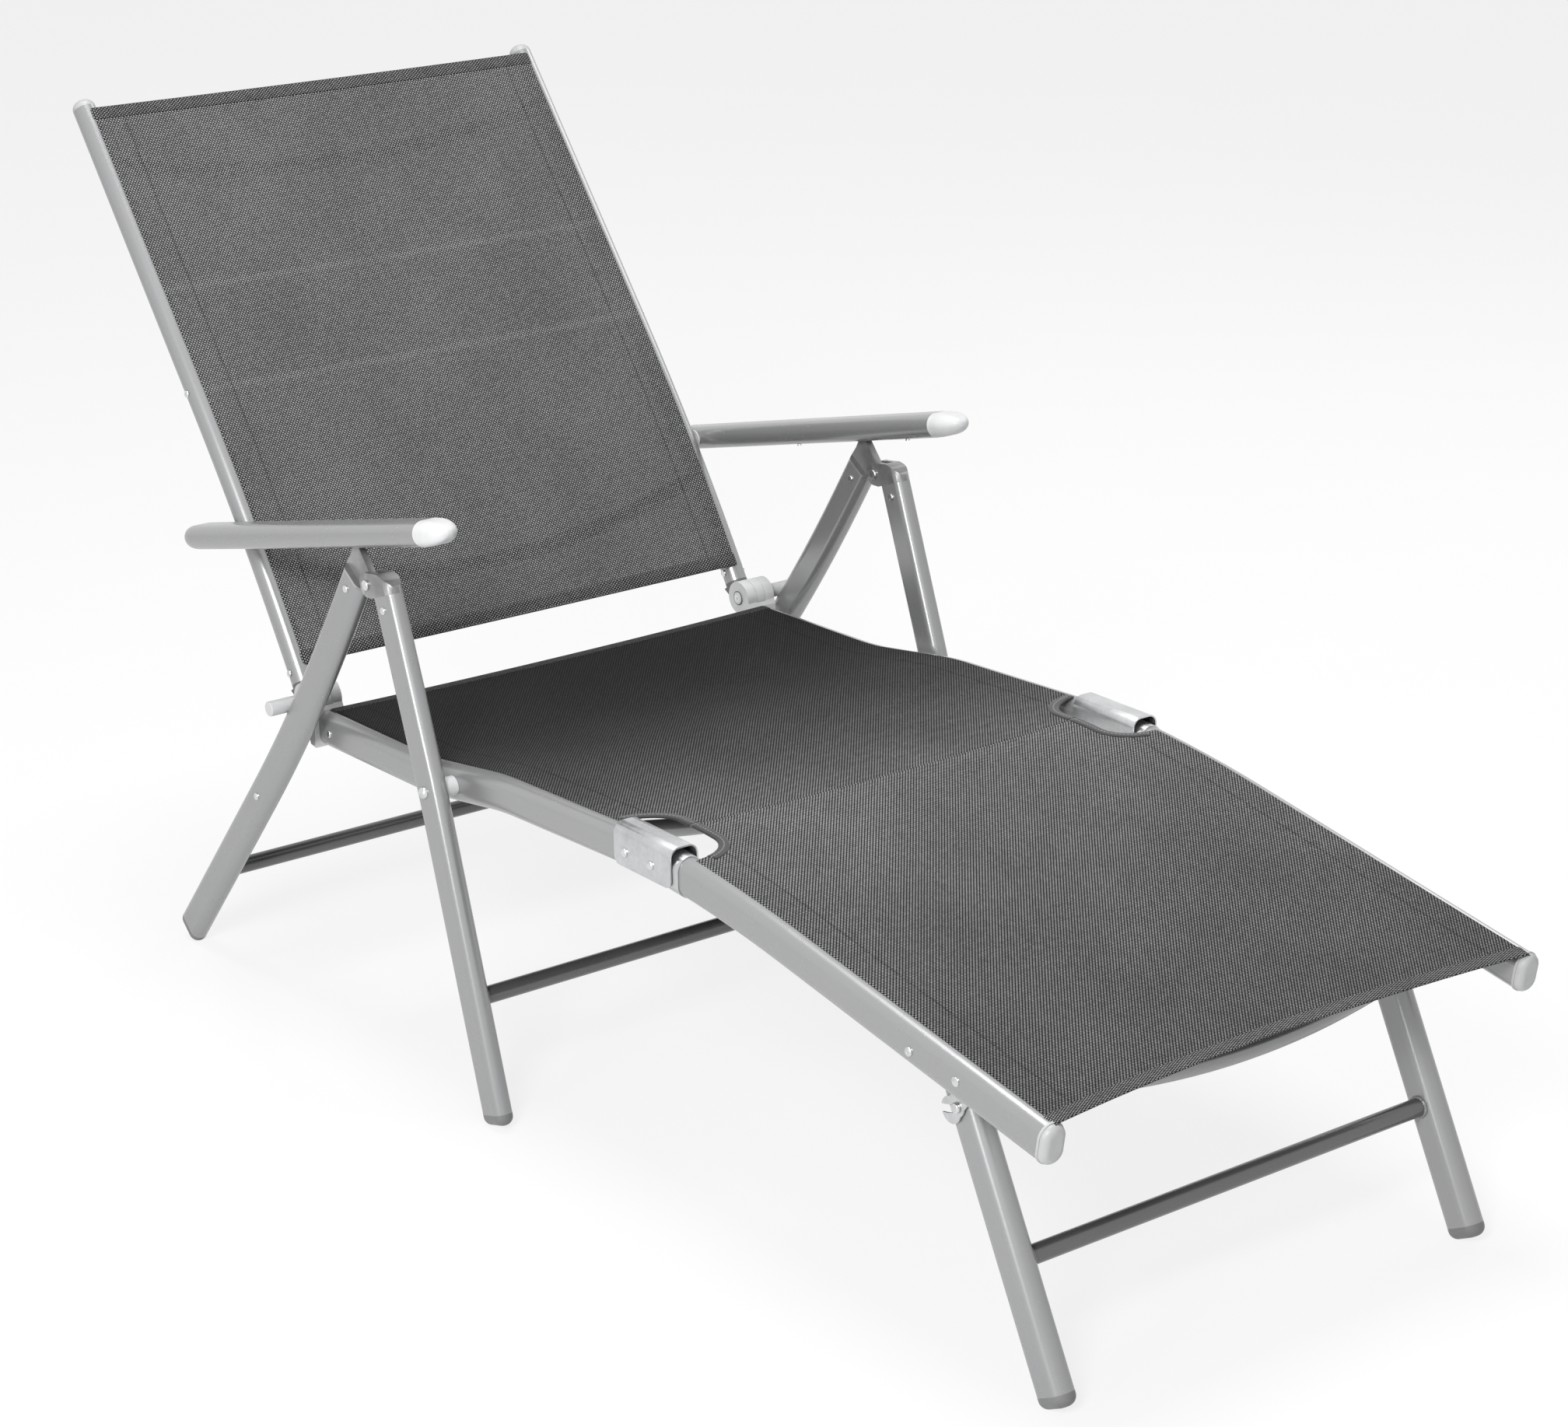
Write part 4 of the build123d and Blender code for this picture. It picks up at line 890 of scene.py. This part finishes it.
@dataclass
class Sling:
    """One stretched cloth, with what is sewn to it.

    Attributes:
        name: the piece's name.
        line: middle line of the rails that carry it.
        lift: distance from that line to the cloth, in millimetres.
        body: the body that it moves with.
        node: the solid that it stands for.
        half_width: half its width, in millimetres.
        sag: how far its middle hangs below its edges, in millimetres.
        notch: the cut-outs of its edges, if it has them.
        scallop: how far its corners reach past the middle of its last edge, in millimetres.
        turn: the second body and the two places that it bends between, if it crosses a joint.
        free_start: whether its first edge ends the cloth, and isn't joined to the next one.
        free_end: the same for its last edge.
        flat_share: share of the sag that a free edge lacks.
    """

    name: str
    line: SideLine
    lift: float
    body: str
    node: str
    half_width: float = 281.0
    sag: float = 6.0
    notch: Notch | None = None
    scallop: float = 0.0
    turn: tuple[str, str, float, float] | None = None
    free_start: bool = True
    free_end: bool = True
    columns: int = 60
    row_step: float = 7.0
    fine_step: float = 1.5
    fine_reach: float = 36.0
    tuck_depth: float = 1.6
    tuck_width: float = 2.2
    flat_share: float = 0.55
    flat_rows: float = 9.0
    scallop_rows: float = 14.0
    thick: float = 0.0009
    pieces: list[Piece] = field(default_factory=list)
    rows: list[tuple[Vector, Vector]] = field(default_factory=list)

    def stations(self) -> list[tuple[Vector, Vector]]:
        """Places along the cloth, close together near the ends of the cut-outs."""
        kept: list[tuple[Vector, Vector]] = []
        ends = (self.notch.rear, self.notch.front) if self.notch else ()
        for tail in self.line.lifted(self.lift, 1.0):
            y = tail[0].y / MM - SHIFT
            near = any(abs(y - end) < self.fine_reach for end in ends)
            step = self.fine_step if near else self.row_step
            if not kept or (tail[0] - kept[-1][0]).length >= step * MM * 0.98:
                kept.append(tail)
        if (tail[0] - kept[-1][0]).length > 0.4 * MM:
            kept.append(tail)
        return kept

    def cross(self, share: float, half: float, tight: float) -> Side:
        """One point of the cloth's cross section.

        Args:
            share: place across, from -1 to 1.
            half: half width there, in millimetres.
            tight: how much of the sag it has.

        Returns:
            Place across and height, in millimetres.
        """
        x = share * half
        drop = self.sag * tight * (1 - (x / self.half_width) ** 2)
        tuck = 0.0
        if half > self.half_width - 1:
            over = abs(x) - self.half_width + self.tuck_width
            tuck = self.tuck_depth * max(0.0, over / self.tuck_width)
        return x, -drop - tuck

    def build(self) -> Piece:
        """Builds the cloth."""
        self.rows = self.stations()
        count = self.columns
        shares = [math.sin(math.pi / 2 * (2 * c / count - 1)) for c in range(count + 1)]
        points, uvs, length = [], [], 0.0
        total = len(self.rows) - 1
        line = [point for point, _ in self.rows]
        for i, (point, up) in enumerate(self.rows):
            length += (point - line[i - 1]).length if i else 0.0
            y = point.y / MM - SHIFT
            half = self.notch.edge(y, self.half_width) if self.notch else self.half_width
            free = min([i] * self.free_start + [total - i] * self.free_end)
            tight = 1 - self.flat_share * math.exp(-free / self.flat_rows)
            pull = max(0.0, 1 - (total - i) / self.scallop_rows) ** 2
            along = tangent_at(line, i)
            for share in shares:
                x, height = self.cross(share, half, tight)
                stretch = pull * (x / self.half_width) ** 2 * self.scallop * MM
                points.append(point + Vector((x * MM, 0, 0)) + up * height * MM + along * stretch)
                uvs.append((x * MM, length + stretch))
        made = mesh_object(self.name, points, grid_faces(len(self.rows), count + 1), uvs)
        self.crease_rim(made.data)
        return made

    def crease_rim(self, mesh: bpy.types.Mesh) -> None:
        """Keeps the shading of the cloth's face clear of its cut edge.

        Args:
            mesh: the cloth's mesh.
        """
        edit = bmesh.new()
        edit.from_mesh(mesh)
        for edge in edit.edges:
            edge.smooth = not edge.is_boundary
        edit.to_mesh(mesh)
        edit.free()

    def dress(self, cloth: Material) -> Piece:
        """Finishes the cloth, joins it to its body or fixes it in place if it crosses a joint, and
        hides the solid it stands for.

        Args:
            cloth: its material.

        Returns:
            The cloth.
        """
        made = self.build()
        finished(made, cloth)
        thick = made.modifiers.new("thickness", "SOLIDIFY")
        thick.thickness = self.thick
        thick.offset = 0.0
        self.attach(made)
        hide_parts(self.node)
        LOG.info("%s: %d points", made.name, len(made.data.vertices))
        return made

    def attach(self, piece: Piece) -> None:
        """Joins a piece of this sling to its body, or fixes it in place if the cloth crosses a
        joint.
        """
        if self.turn:
            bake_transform(piece)
        else:
            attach(piece, self.body)

    def sewn_on(
        self, name: str, path: Sequence[Vector], ups: Sequence[Vector], size: Side,
        material: Material,
    ) -> None:
        """A band that is sewn to the cloth and moves with it.

        Args:
            name: the piece's name.
            path: points along its middle.
            ups: direction of its thickness at each point.
            size: half its width and half its thickness, in metres.
            material: its material.
        """
        made = tube_mesh(name, path, ups, *size)
        finished(made, material)
        self.attach(made)
        self.pieces.append(made)

    def edge_band(
        self, name: str, row: int, width: float, material: Material, inward: int,
        thick: float = 0.0012,
    ) -> None:
        """A turned and sewn hem along one of the cloth's end edges.

        Args:
            name: the piece's name.
            row: the row of the cloth that the hem starts from.
            width: its width, in millimetres.
            material: its material.
            inward: 1 if the cloth goes on to the next row, -1 if to the one before.
            thick: half its thickness, in metres.
        """
        points = bpy.data.objects[self.name].data.vertices
        across = self.columns + 1
        base = row % len(self.rows)
        path = []
        for c in range(across):
            edge = points[base * across + c].co
            inner = points[(base + inward) * across + c].co
            path.append(edge + (inner - edge).normalized() * width * MM / 2)
        size = (width * MM / 2, thick)
        self.sewn_on(name, path, [self.rows[base][1]] * across, size, material)

    def notch_tapes(
        self, name: str, material: Material, inset: float = 0.0046, step: float = 0.003,
        size: Side = (0.0055, 0.0014),
    ) -> None:
        """Binding tapes round this cloth's share of the two cut-outs.

        Args:
            name: start of the pieces' names.
            material: their material.
            inset: distance of their middle from the cloth's edge, in metres.
            step: spacing of the points along them.
            size: half their width and half their thickness.
        """
        assert self.notch
        points = bpy.data.objects[self.name].data.vertices
        across = self.columns + 1
        for side, sign, column in (("right", -1, 0), ("left", 1, self.columns)):
            path, ups = [], []
            for i, (point, up) in enumerate(self.rows):
                if self.notch.front <= point.y / MM - SHIFT <= self.notch.rear:
                    path.append(points[i * across + column].co.copy())
                    ups.append(up)
            middle = []
            for i, point in enumerate(path):
                inwards = tangent_at(path, i).cross(ups[i]).normalized()
                inwards = -inwards if inwards.x * sign > 0 else inwards
                middle.append(point + inwards * inset)
            middle = evenly(middle, step)
            self.sewn_on(f"{name}_{side}", middle, [ups[0]] * len(middle), size, material)


@dataclass
class Slings:
    """The three cloths of the lounger.

    Attributes:
        rail_top: distance from the oval rails' middle line to the cloth, in millimetres.
        back_top: the same for the round back rails.
    """

    seat_corners: tuple[Side, ...] = (
        (0.0, 312.65), (-200.0, 317.2), (-335.0, 337.4), (-558.2, 347.5), (-578.9, 347.9))
    foot_corners: tuple[Side, ...] = (
        (-578.9, 347.9), (-599.6, 347.5), (-700.0, 341.3), (-1122.5, 269.85))
    back_corners: tuple[Side, ...] = ((457.4, 889.2), (138.4, 489.0), (60.3, 362.0))
    rail_top: float = 19.6
    back_top: float = 13.1

    def build(self, finishes: Finishes) -> None:
        """Builds and dresses the cloths.

        Args:
            finishes: the lounger's finishes.
        """
        notch = Notch()
        seat = Sling(
            "seat_cloth", SideLine(self.seat_corners, (400.0, 400.0, 150.0)), self.rail_top,
            "seat_frame", "seat_sling", notch=notch,
            turn=("seat_frame", "knee_links", -541.0, -577.0), free_end=False)
        foot = Sling(
            "foot_cloth", SideLine(self.foot_corners, (150.0, 1500.0)), self.rail_top,
            "foot_frame", "foot_sling", notch=notch, scallop=17.0,
            turn=("knee_links", "foot_frame", -581.0, -617.0), free_start=False)
        back = Sling(
            "back_cloth", SideLine(self.back_corners, (2500.0,)), self.back_top,
            "back_frame", "back_sling", sag=5.0)
        seat_mesh = seat.dress(finishes.seat_cloth)
        foot_mesh = foot.dress(finishes.foot_cloth)
        back_mesh = back.dress(finishes.back_cloth)
        # The seat's rear hem takes the darker copy of the hem, a painted shade.
        seat.edge_band("seat_rear_hem", 0, 13.0, finishes.shaded_seat_hem, 1)
        foot.edge_band("foot_end_hem", -1, 15.0, finishes.hem, -1)
        back.edge_band("back_top_hem", 0, 15.0, finishes.back_hem, 1)
        back.edge_band("back_lower_hem", -1, 15.0, finishes.back_hem, -1)
        seat.notch_tapes("seat_notch_tape", finishes.tape)
        foot.notch_tapes("foot_notch_tape", finishes.tape)


@dataclass
class Welds:
    """Weld beads where the round tubes meet the legs and rails.

    Attributes:
        bead: radius of the bead, in millimetres.
        tube: radius of the round tubes, in millimetres.
        sunk: share of the bead's radius that it stands out by.
        ends: each tube, the body that it is on, and where the beads are, in millimetres.
    """

    bead: float = 1.9
    tube: float = 9.0
    turns: int = 56
    ring: int = 8
    sunk: float = 0.9
    ends: tuple[tuple[str, str, float], ...] = (
        ("front_crossbar", "front_legs", 306.4),
        ("rear_crossbar", "rear_legs", 306.4),
        ("foot_crossbar", "foot_legs", 236.0),
        ("foot_spreader", "foot_frame", 267.8),
        ("seat_spreader_rear", "seat_frame", 267.8),
        ("seat_spreader_knee", "seat_frame", 267.8),
    )

    def one(self, name: str, centre: Vector, body: str, material: Material, seed: float) -> None:
        """One uneven bead round a tube's end.

        Args:
            name: the piece's name.
            centre: middle of the tube's end, in metres.
            body: the body that it moves with.
            material: its material.
            seed: shifts the ripples, so that no two beads are alike.
        """
        points = []
        for i in range(self.turns):
            a = 2 * math.pi * i / self.turns
            ripple = 1 + 0.16 * math.sin(19 * a + seed) + 0.12 * math.sin(7 * a + 2.3 * seed)
            for j in range(self.ring):
                b = 2 * math.pi * j / self.ring
                reach = (self.tube + self.bead * ripple * math.cos(b) * self.sunk) * MM
                rise = self.bead * ripple * math.sin(b) * MM
                points.append(centre + Vector((rise, reach * math.cos(a), reach * math.sin(a))))
        faces = grid_faces(self.turns, self.ring, True)
        last = (self.turns - 1) * self.ring
        faces += [(last + j, last + (j + 1) % self.ring, (j + 1) % self.ring, j)
                  for j in range(self.ring)]
        made = mesh_object(name, points, faces)
        finished(made, material)
        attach(made, body)

    def build(self, finishes: Finishes) -> None:
        """Builds the beads at both ends of every round cross tube.

        Args:
            finishes: the lounger's finishes.
        """
        for count, (node, body, x) in enumerate(self.ends):
            for side, sign in SIDES:
                centre = self.tube_end(node, sign)
                centre.x = sign * x * MM
                seed = count * 1.7 + sign
                self.one(f"{node}_weld_{side}", centre, body, finishes.weld, seed)
            LOG.info("%s: welds", node)

    def tube_end(self, node: str, sign: int) -> Vector:
        """Middle of a cross tube's end, from its own points.

        Args:
            node: the tube.
            sign: 1 for the left end, -1 for the right.

        Returns:
            The middle, in metres.
        """
        mesh = bpy.data.objects[node].data
        far = max(sign * v.co.x for v in mesh.vertices)
        end = [v.co for v in mesh.vertices if sign * v.co.x > far - 2 * MM]
        low = Vector([min(p[i] for p in end) for i in range(3)])
        high = Vector([max(p[i] for p in end) for i in range(3)])
        return (low + high) / 2


@dataclass
class HingeScrews:
    """Cross-headed screws in the inner faces of the two disc hinges.

    Attributes:
        axis: side view place of the hinge, in millimetres.
        face: where the screw's head ends, in millimetres from the middle plane.
        head: radius and height of each ring of the head, from its rim to the cross.
        cross: how far the cross is drawn in between its arms.
        hole: radius and height of each ring round the head, drawn as a painted shadow of the
            recess.
    """

    axis: Side = (23.355, 339.3)
    face: float = 261.9
    head: tuple[Side, ...] = ((5.0, 0.0), (5.0, 0.5), (4.5, 0.9), (3.2, 1.1), (2.4, 1.1))
    head_steps: int = 32
    cross: float = 0.42
    depth: float = 1.1
    hole: tuple[Side, ...] = (
        (4.9, 0.05), (5.3, 0.12), (6.6, 0.12), (7.1, 0.3), (7.7, 0.3), (8.0, 0.05))
    hole_steps: int = 40

    def place(self, sign: int, radius: float, out: float, share: float) -> Vector:
        """A point of one hinge's inner face.

        Args:
            sign: 1 for the left hinge, -1 for the right.
            radius: distance from the hinge's axis, in millimetres.
            out: height above the face.
            share: how far round it is, from zero to one.

        Returns:
            The point, in metres.
        """
        a = 2 * math.pi * share
        off = Vector((-sign * (out - self.face), radius * math.cos(a), radius * math.sin(a)))
        return flat_side(self.axis) + off * MM

    def build(self, finishes: Finishes) -> None:
        """Builds both screws and the holes that they sit in.

        Args:
            finishes: the lounger's finishes.
        """
        for side, sign in SIDES:
            screw = self.screw(side, sign)
            finished(screw, finishes.steel)
            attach(screw, "seat_frame")
            points = [
                self.place(sign, radius, out, i / self.hole_steps)
                for radius, out in self.hole
                for i in range(self.hole_steps)
            ]
            faces = grid_faces(len(self.hole), self.hole_steps, True)
            recess = mesh_object(f"hinge_recess_{side}", points, faces)
            # The rings round the head are drawn near black, a painted shadow of the recess.
            finished(recess, finishes.shadow)
            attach(recess, "seat_frame")
        LOG.info("hinge screws")

    def screw(self, side: str, sign: int) -> Piece:
        """One screw's head with its cross.

        Args:
            side: which side the hinge is on.
            sign: 1 for the left side, -1 for the right.

        Returns:
            The screw.
        """
        mesh = bmesh.new()
        steps = self.head_steps
        rings = []
        for place, (radius, out) in enumerate(self.head):
            last = place == len(self.head) - 1
            shares = [self.cross if last and i % 8 not in (0, 1, 7) else 1.0 for i in range(steps)]
            rings.append([
                mesh.verts.new(self.place(sign, radius * share, out, i / steps))
                for i, share in enumerate(shares)
            ])
        drop = Vector((sign * self.depth * MM, 0, 0))
        rings.append([mesh.verts.new(v.co + drop) for v in rings[-1]])
        for a, b in zip(rings, rings[1:]):
            for i in range(steps):
                mesh.faces.new((a[i], a[(i + 1) % steps], b[(i + 1) % steps], b[i]))
        mesh.faces.new(rings[-1])
        mesh.normal_update()
        bmesh.ops.recalc_face_normals(mesh, faces=mesh.faces)
        made = mesh_object(f"hinge_screw_{side}", [], [], smooth=False)
        mesh.to_mesh(made.data)
        mesh.free()
        return made


def pairs(*names: str) -> tuple[str, ...]:
    """The left and right nodes of each name."""
    return tuple(f"{name}_{side}" for name in names for side, _ in SIDES)


COVERS = {
    "paint": pairs(
        "seat_rail", "foot_rail", "back_rail", "front_leg", "rear_leg", "foot_leg", "armrest_tube"
    ) + (
        "seat_spreader_rear", "seat_spreader_knee", "back_spreader_upper",
        "back_spreader_lower", "foot_spreader"),
    "crossbar": ("front_crossbar", "rear_crossbar", "foot_crossbar"),
    "cap": pairs("armrest_cap", "armrest_bush") + ("leg_spacers",),
    "end_cap": ("back_top_caps", "foot_end_caps"),
    "hinge": ("hinge_forks", "stop_rods"),
    "arm": ("hinge_arms",),
    "foot": ("front_feet", "rear_feet", "foot_leg_feet"),
    "cast": ("leg_top_forks", "leg_top_tongues"),
    "zinc": ("knee_brackets", "knee_sleeves", "stop_plates"),
    "rack": pairs("armrest_rack"),
    "steel": pairs("rack_screws") + (
        "fork_screws", "back_rivets", "back_screws", "armrest_bolts", "fork_rivets",
        "leg_pivot_pins", "seat_bolts", "rear_leg_rivets", "knee_rivets",
        "stop_plate_rivets", "foot_leg_pins", "latch_studs"),
}


@dataclass
class FramePieces:
    """Finishes the solids that stay as they are, with the edges of some eased."""

    edge: float = 0.0006
    edge_segments: int = 3
    edge_angle: float = math.radians(38)
    joined: float = 0.000004
    eased: tuple[str, ...] = ("hinge", "arm", "cast", "zinc", "rack")

    def build(self, nodes: dict[str, Piece], finishes: Finishes) -> None:
        """Gives each node its finish.

        Args:
            nodes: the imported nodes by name.
            finishes: the lounger's finishes.
        """
        for finish, names in COVERS.items():
            for name in names:
                nodes[name].data.materials.clear()
                nodes[name].data.materials.append(getattr(finishes, finish))
                if finish in self.eased:
                    self.ease(nodes[name])
            LOG.info("%s: %d nodes", finish, len(names))

    def ease(self, node: Piece) -> None:
        """Eases the edges of a moulded, cast or folded piece.

        Args:
            node: the node.
        """
        node.modifiers.new("joined", "WELD").merge_threshold = self.joined
        ease = node.modifiers.new("eased", "BEVEL")
        ease.width, ease.segments = self.edge, self.edge_segments
        ease.limit_method, ease.angle_limit = "ANGLE", self.edge_angle
        ease.harden_normals = True


@dataclass(frozen=True)
class Lamp:
    """One soft square lamp, with its size in metres and its power in watts."""

    name: str
    place: Triple
    size: float
    power: float
    aim: Triple = (0.0, 0.0, 0.4)

    def build(self) -> None:
        """Hangs the lamp."""
        data = bpy.data.lights.new(self.name, "AREA")
        data.shape, data.size, data.energy = "SQUARE", self.size, self.power
        made = shown(self.name, data)
        made.location = self.place
        made.rotation_mode = "QUATERNION"
        towards = Vector(self.aim) - Vector(self.place)
        made.rotation_quaternion = towards.to_track_quat("-Z", "Y")


@dataclass
class Studio:
    """Pale floor, soft lamps and the camera of the photograph.

    Attributes:
        eye: the camera's place, in metres.
        right: the picture's rightward direction.
        down: the picture's downward direction.
        ahead: the direction that the camera looks in.
        lens: focal length in millimetres.
        floor_white: how much of the floor is shown as plain white.
        surround: brightness of the surround for light, not for the eye.
    """

    eye: Triple = (-2.0783, -2.8438, 1.5869)
    right: Triple = (0.79716, -0.60365, -0.01182)
    down: Triple = (-0.20867, -0.25709, -0.94359)
    ahead: Triple = (0.56656, 0.75466, -0.33091)
    lens: float = 84.92
    sensor: float = 36.0
    shift: Side = (-0.00083, 0.0029)
    far: float = 200.0
    half_floor: float = 60.0
    floor_white: float = 0.82
    surround: float = 0.3
    lamps: tuple[Lamp, ...] = (
        Lamp("key", (-3.1, -2.5, 2.9), 1.2, 150.0),
        Lamp("low", (-3.7, -1.3, 0.9), 0.8, 32.0),
        Lamp("side", (3.2, 0.6, 2.4), 1.6, 24.0),
        Lamp("top", (0.0, 0.4, 4.4), 1.8, 120.0),
    )

    def camera(self) -> None:
        """Sets the camera."""
        data = bpy.data.cameras.new("camera")
        data.lens = self.lens
        data.sensor_width = self.sensor
        data.shift_x, data.shift_y = self.shift
        data.clip_end = self.far
        made = shown("camera", data)
        turn = Matrix((self.right, [-v for v in self.down], [-v for v in self.ahead])).transposed()
        made.matrix_world = Matrix.Translation(self.eye) @ turn.to_4x4()
        bpy.context.scene.camera = made

    def white_to_eye(
        self, tree: Tree, plain: Socket, emitter: str, share: float
    ) -> Socket:
        """Lets camera and glossy rays see a white ground in place of a shader.

        Args:
            tree: the node tree.
            plain: the shader that other rays see.
            emitter: kind of the white shader.
            share: how much of the white those rays see.

        Returns:
            The mixed shader.
        """
        rays = tree.node("LightPath").outputs
        seen = rays["Is Camera Ray"]
        for ray in ("Is Glossy Ray", "Is Transmission Ray"):
            seen = tree.sum("MAXIMUM", seen, rays[ray])
        white = tree.node(emitter, Color=grey(1.0)).outputs[0]
        return tree.node("MixShader", tree.times(seen, share), plain, white).outputs[0]

    def floor(self) -> None:
        """A wide pale floor that keeps the lounger's shadow."""
        signs = ((-1, -1), (1, -1), (1, 1), (-1, 1))
        points = [Vector((x, y, 0.0)) * self.half_floor for x, y in signs]
        made = mesh_object("floor", points, [(0, 1, 2, 3)], smooth=False)
        shade = Shade("pale_floor")
        shade.surface(Specular_IOR_Level=0.1)
        mottle = shade.spread(shade.noise(3.0, 2.0), *USUAL)
        shade.surface(Base_Color=shade.blend(mottle, grey(0.86), grey(0.88)))
        shade.surface(Roughness=0.8)
        seen = self.white_to_eye(shade, shade.shader.outputs[0], "Emission", self.floor_white)
        shade.show(seen)
        made.data.materials.append(shade.material)
        made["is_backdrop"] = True

    def sky(self) -> None:
        """A pale even surround."""
        world = bpy.data.worlds.new("studio")
        bpy.context.scene.world = world
        world.use_nodes = True
        tree = Tree(world.node_tree)
        out = tree.node("OutputWorld").inputs[0]
        around = tree.node("Background", Color=grey(0.8, 0.01), Strength=self.surround)
        tree.join(self.white_to_eye(tree, around.outputs[0], "Background", 1.0), out)

    def build(self) -> None:
        """Sets the whole studio."""
        self.camera()
        self.floor()
        self.sky()
        for lamp in self.lamps:
            lamp.build()
        bpy.context.scene.view_settings.view_transform = "Standard"


def corners() -> list[list[float]]:
    """Lowest and highest corner of what shows, as plain numbers."""
    return [list(corner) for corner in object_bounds()]


def main() -> None:
    """Loads the frame and builds every part of the look, in order."""
    logging.basicConfig(level=logging.INFO, format="%(name)s: %(message)s")
    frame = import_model()
    finishes = Finishes()
    steps: tuple[tuple[str, Callable[[], None]], ...] = (
        ("frame", lambda: FramePieces().build(frame["nodes"], finishes)),
        ("slings", lambda: Slings().build(finishes)),
        ("welds", lambda: Welds().build(finishes)),
        ("hinge screws", lambda: HingeScrews().build(finishes)),
        ("studio", Studio().build),
    )
    for name, step in steps:
        step()
        LOG.info("%s done", name)


if __name__ == "__main__":
    main()
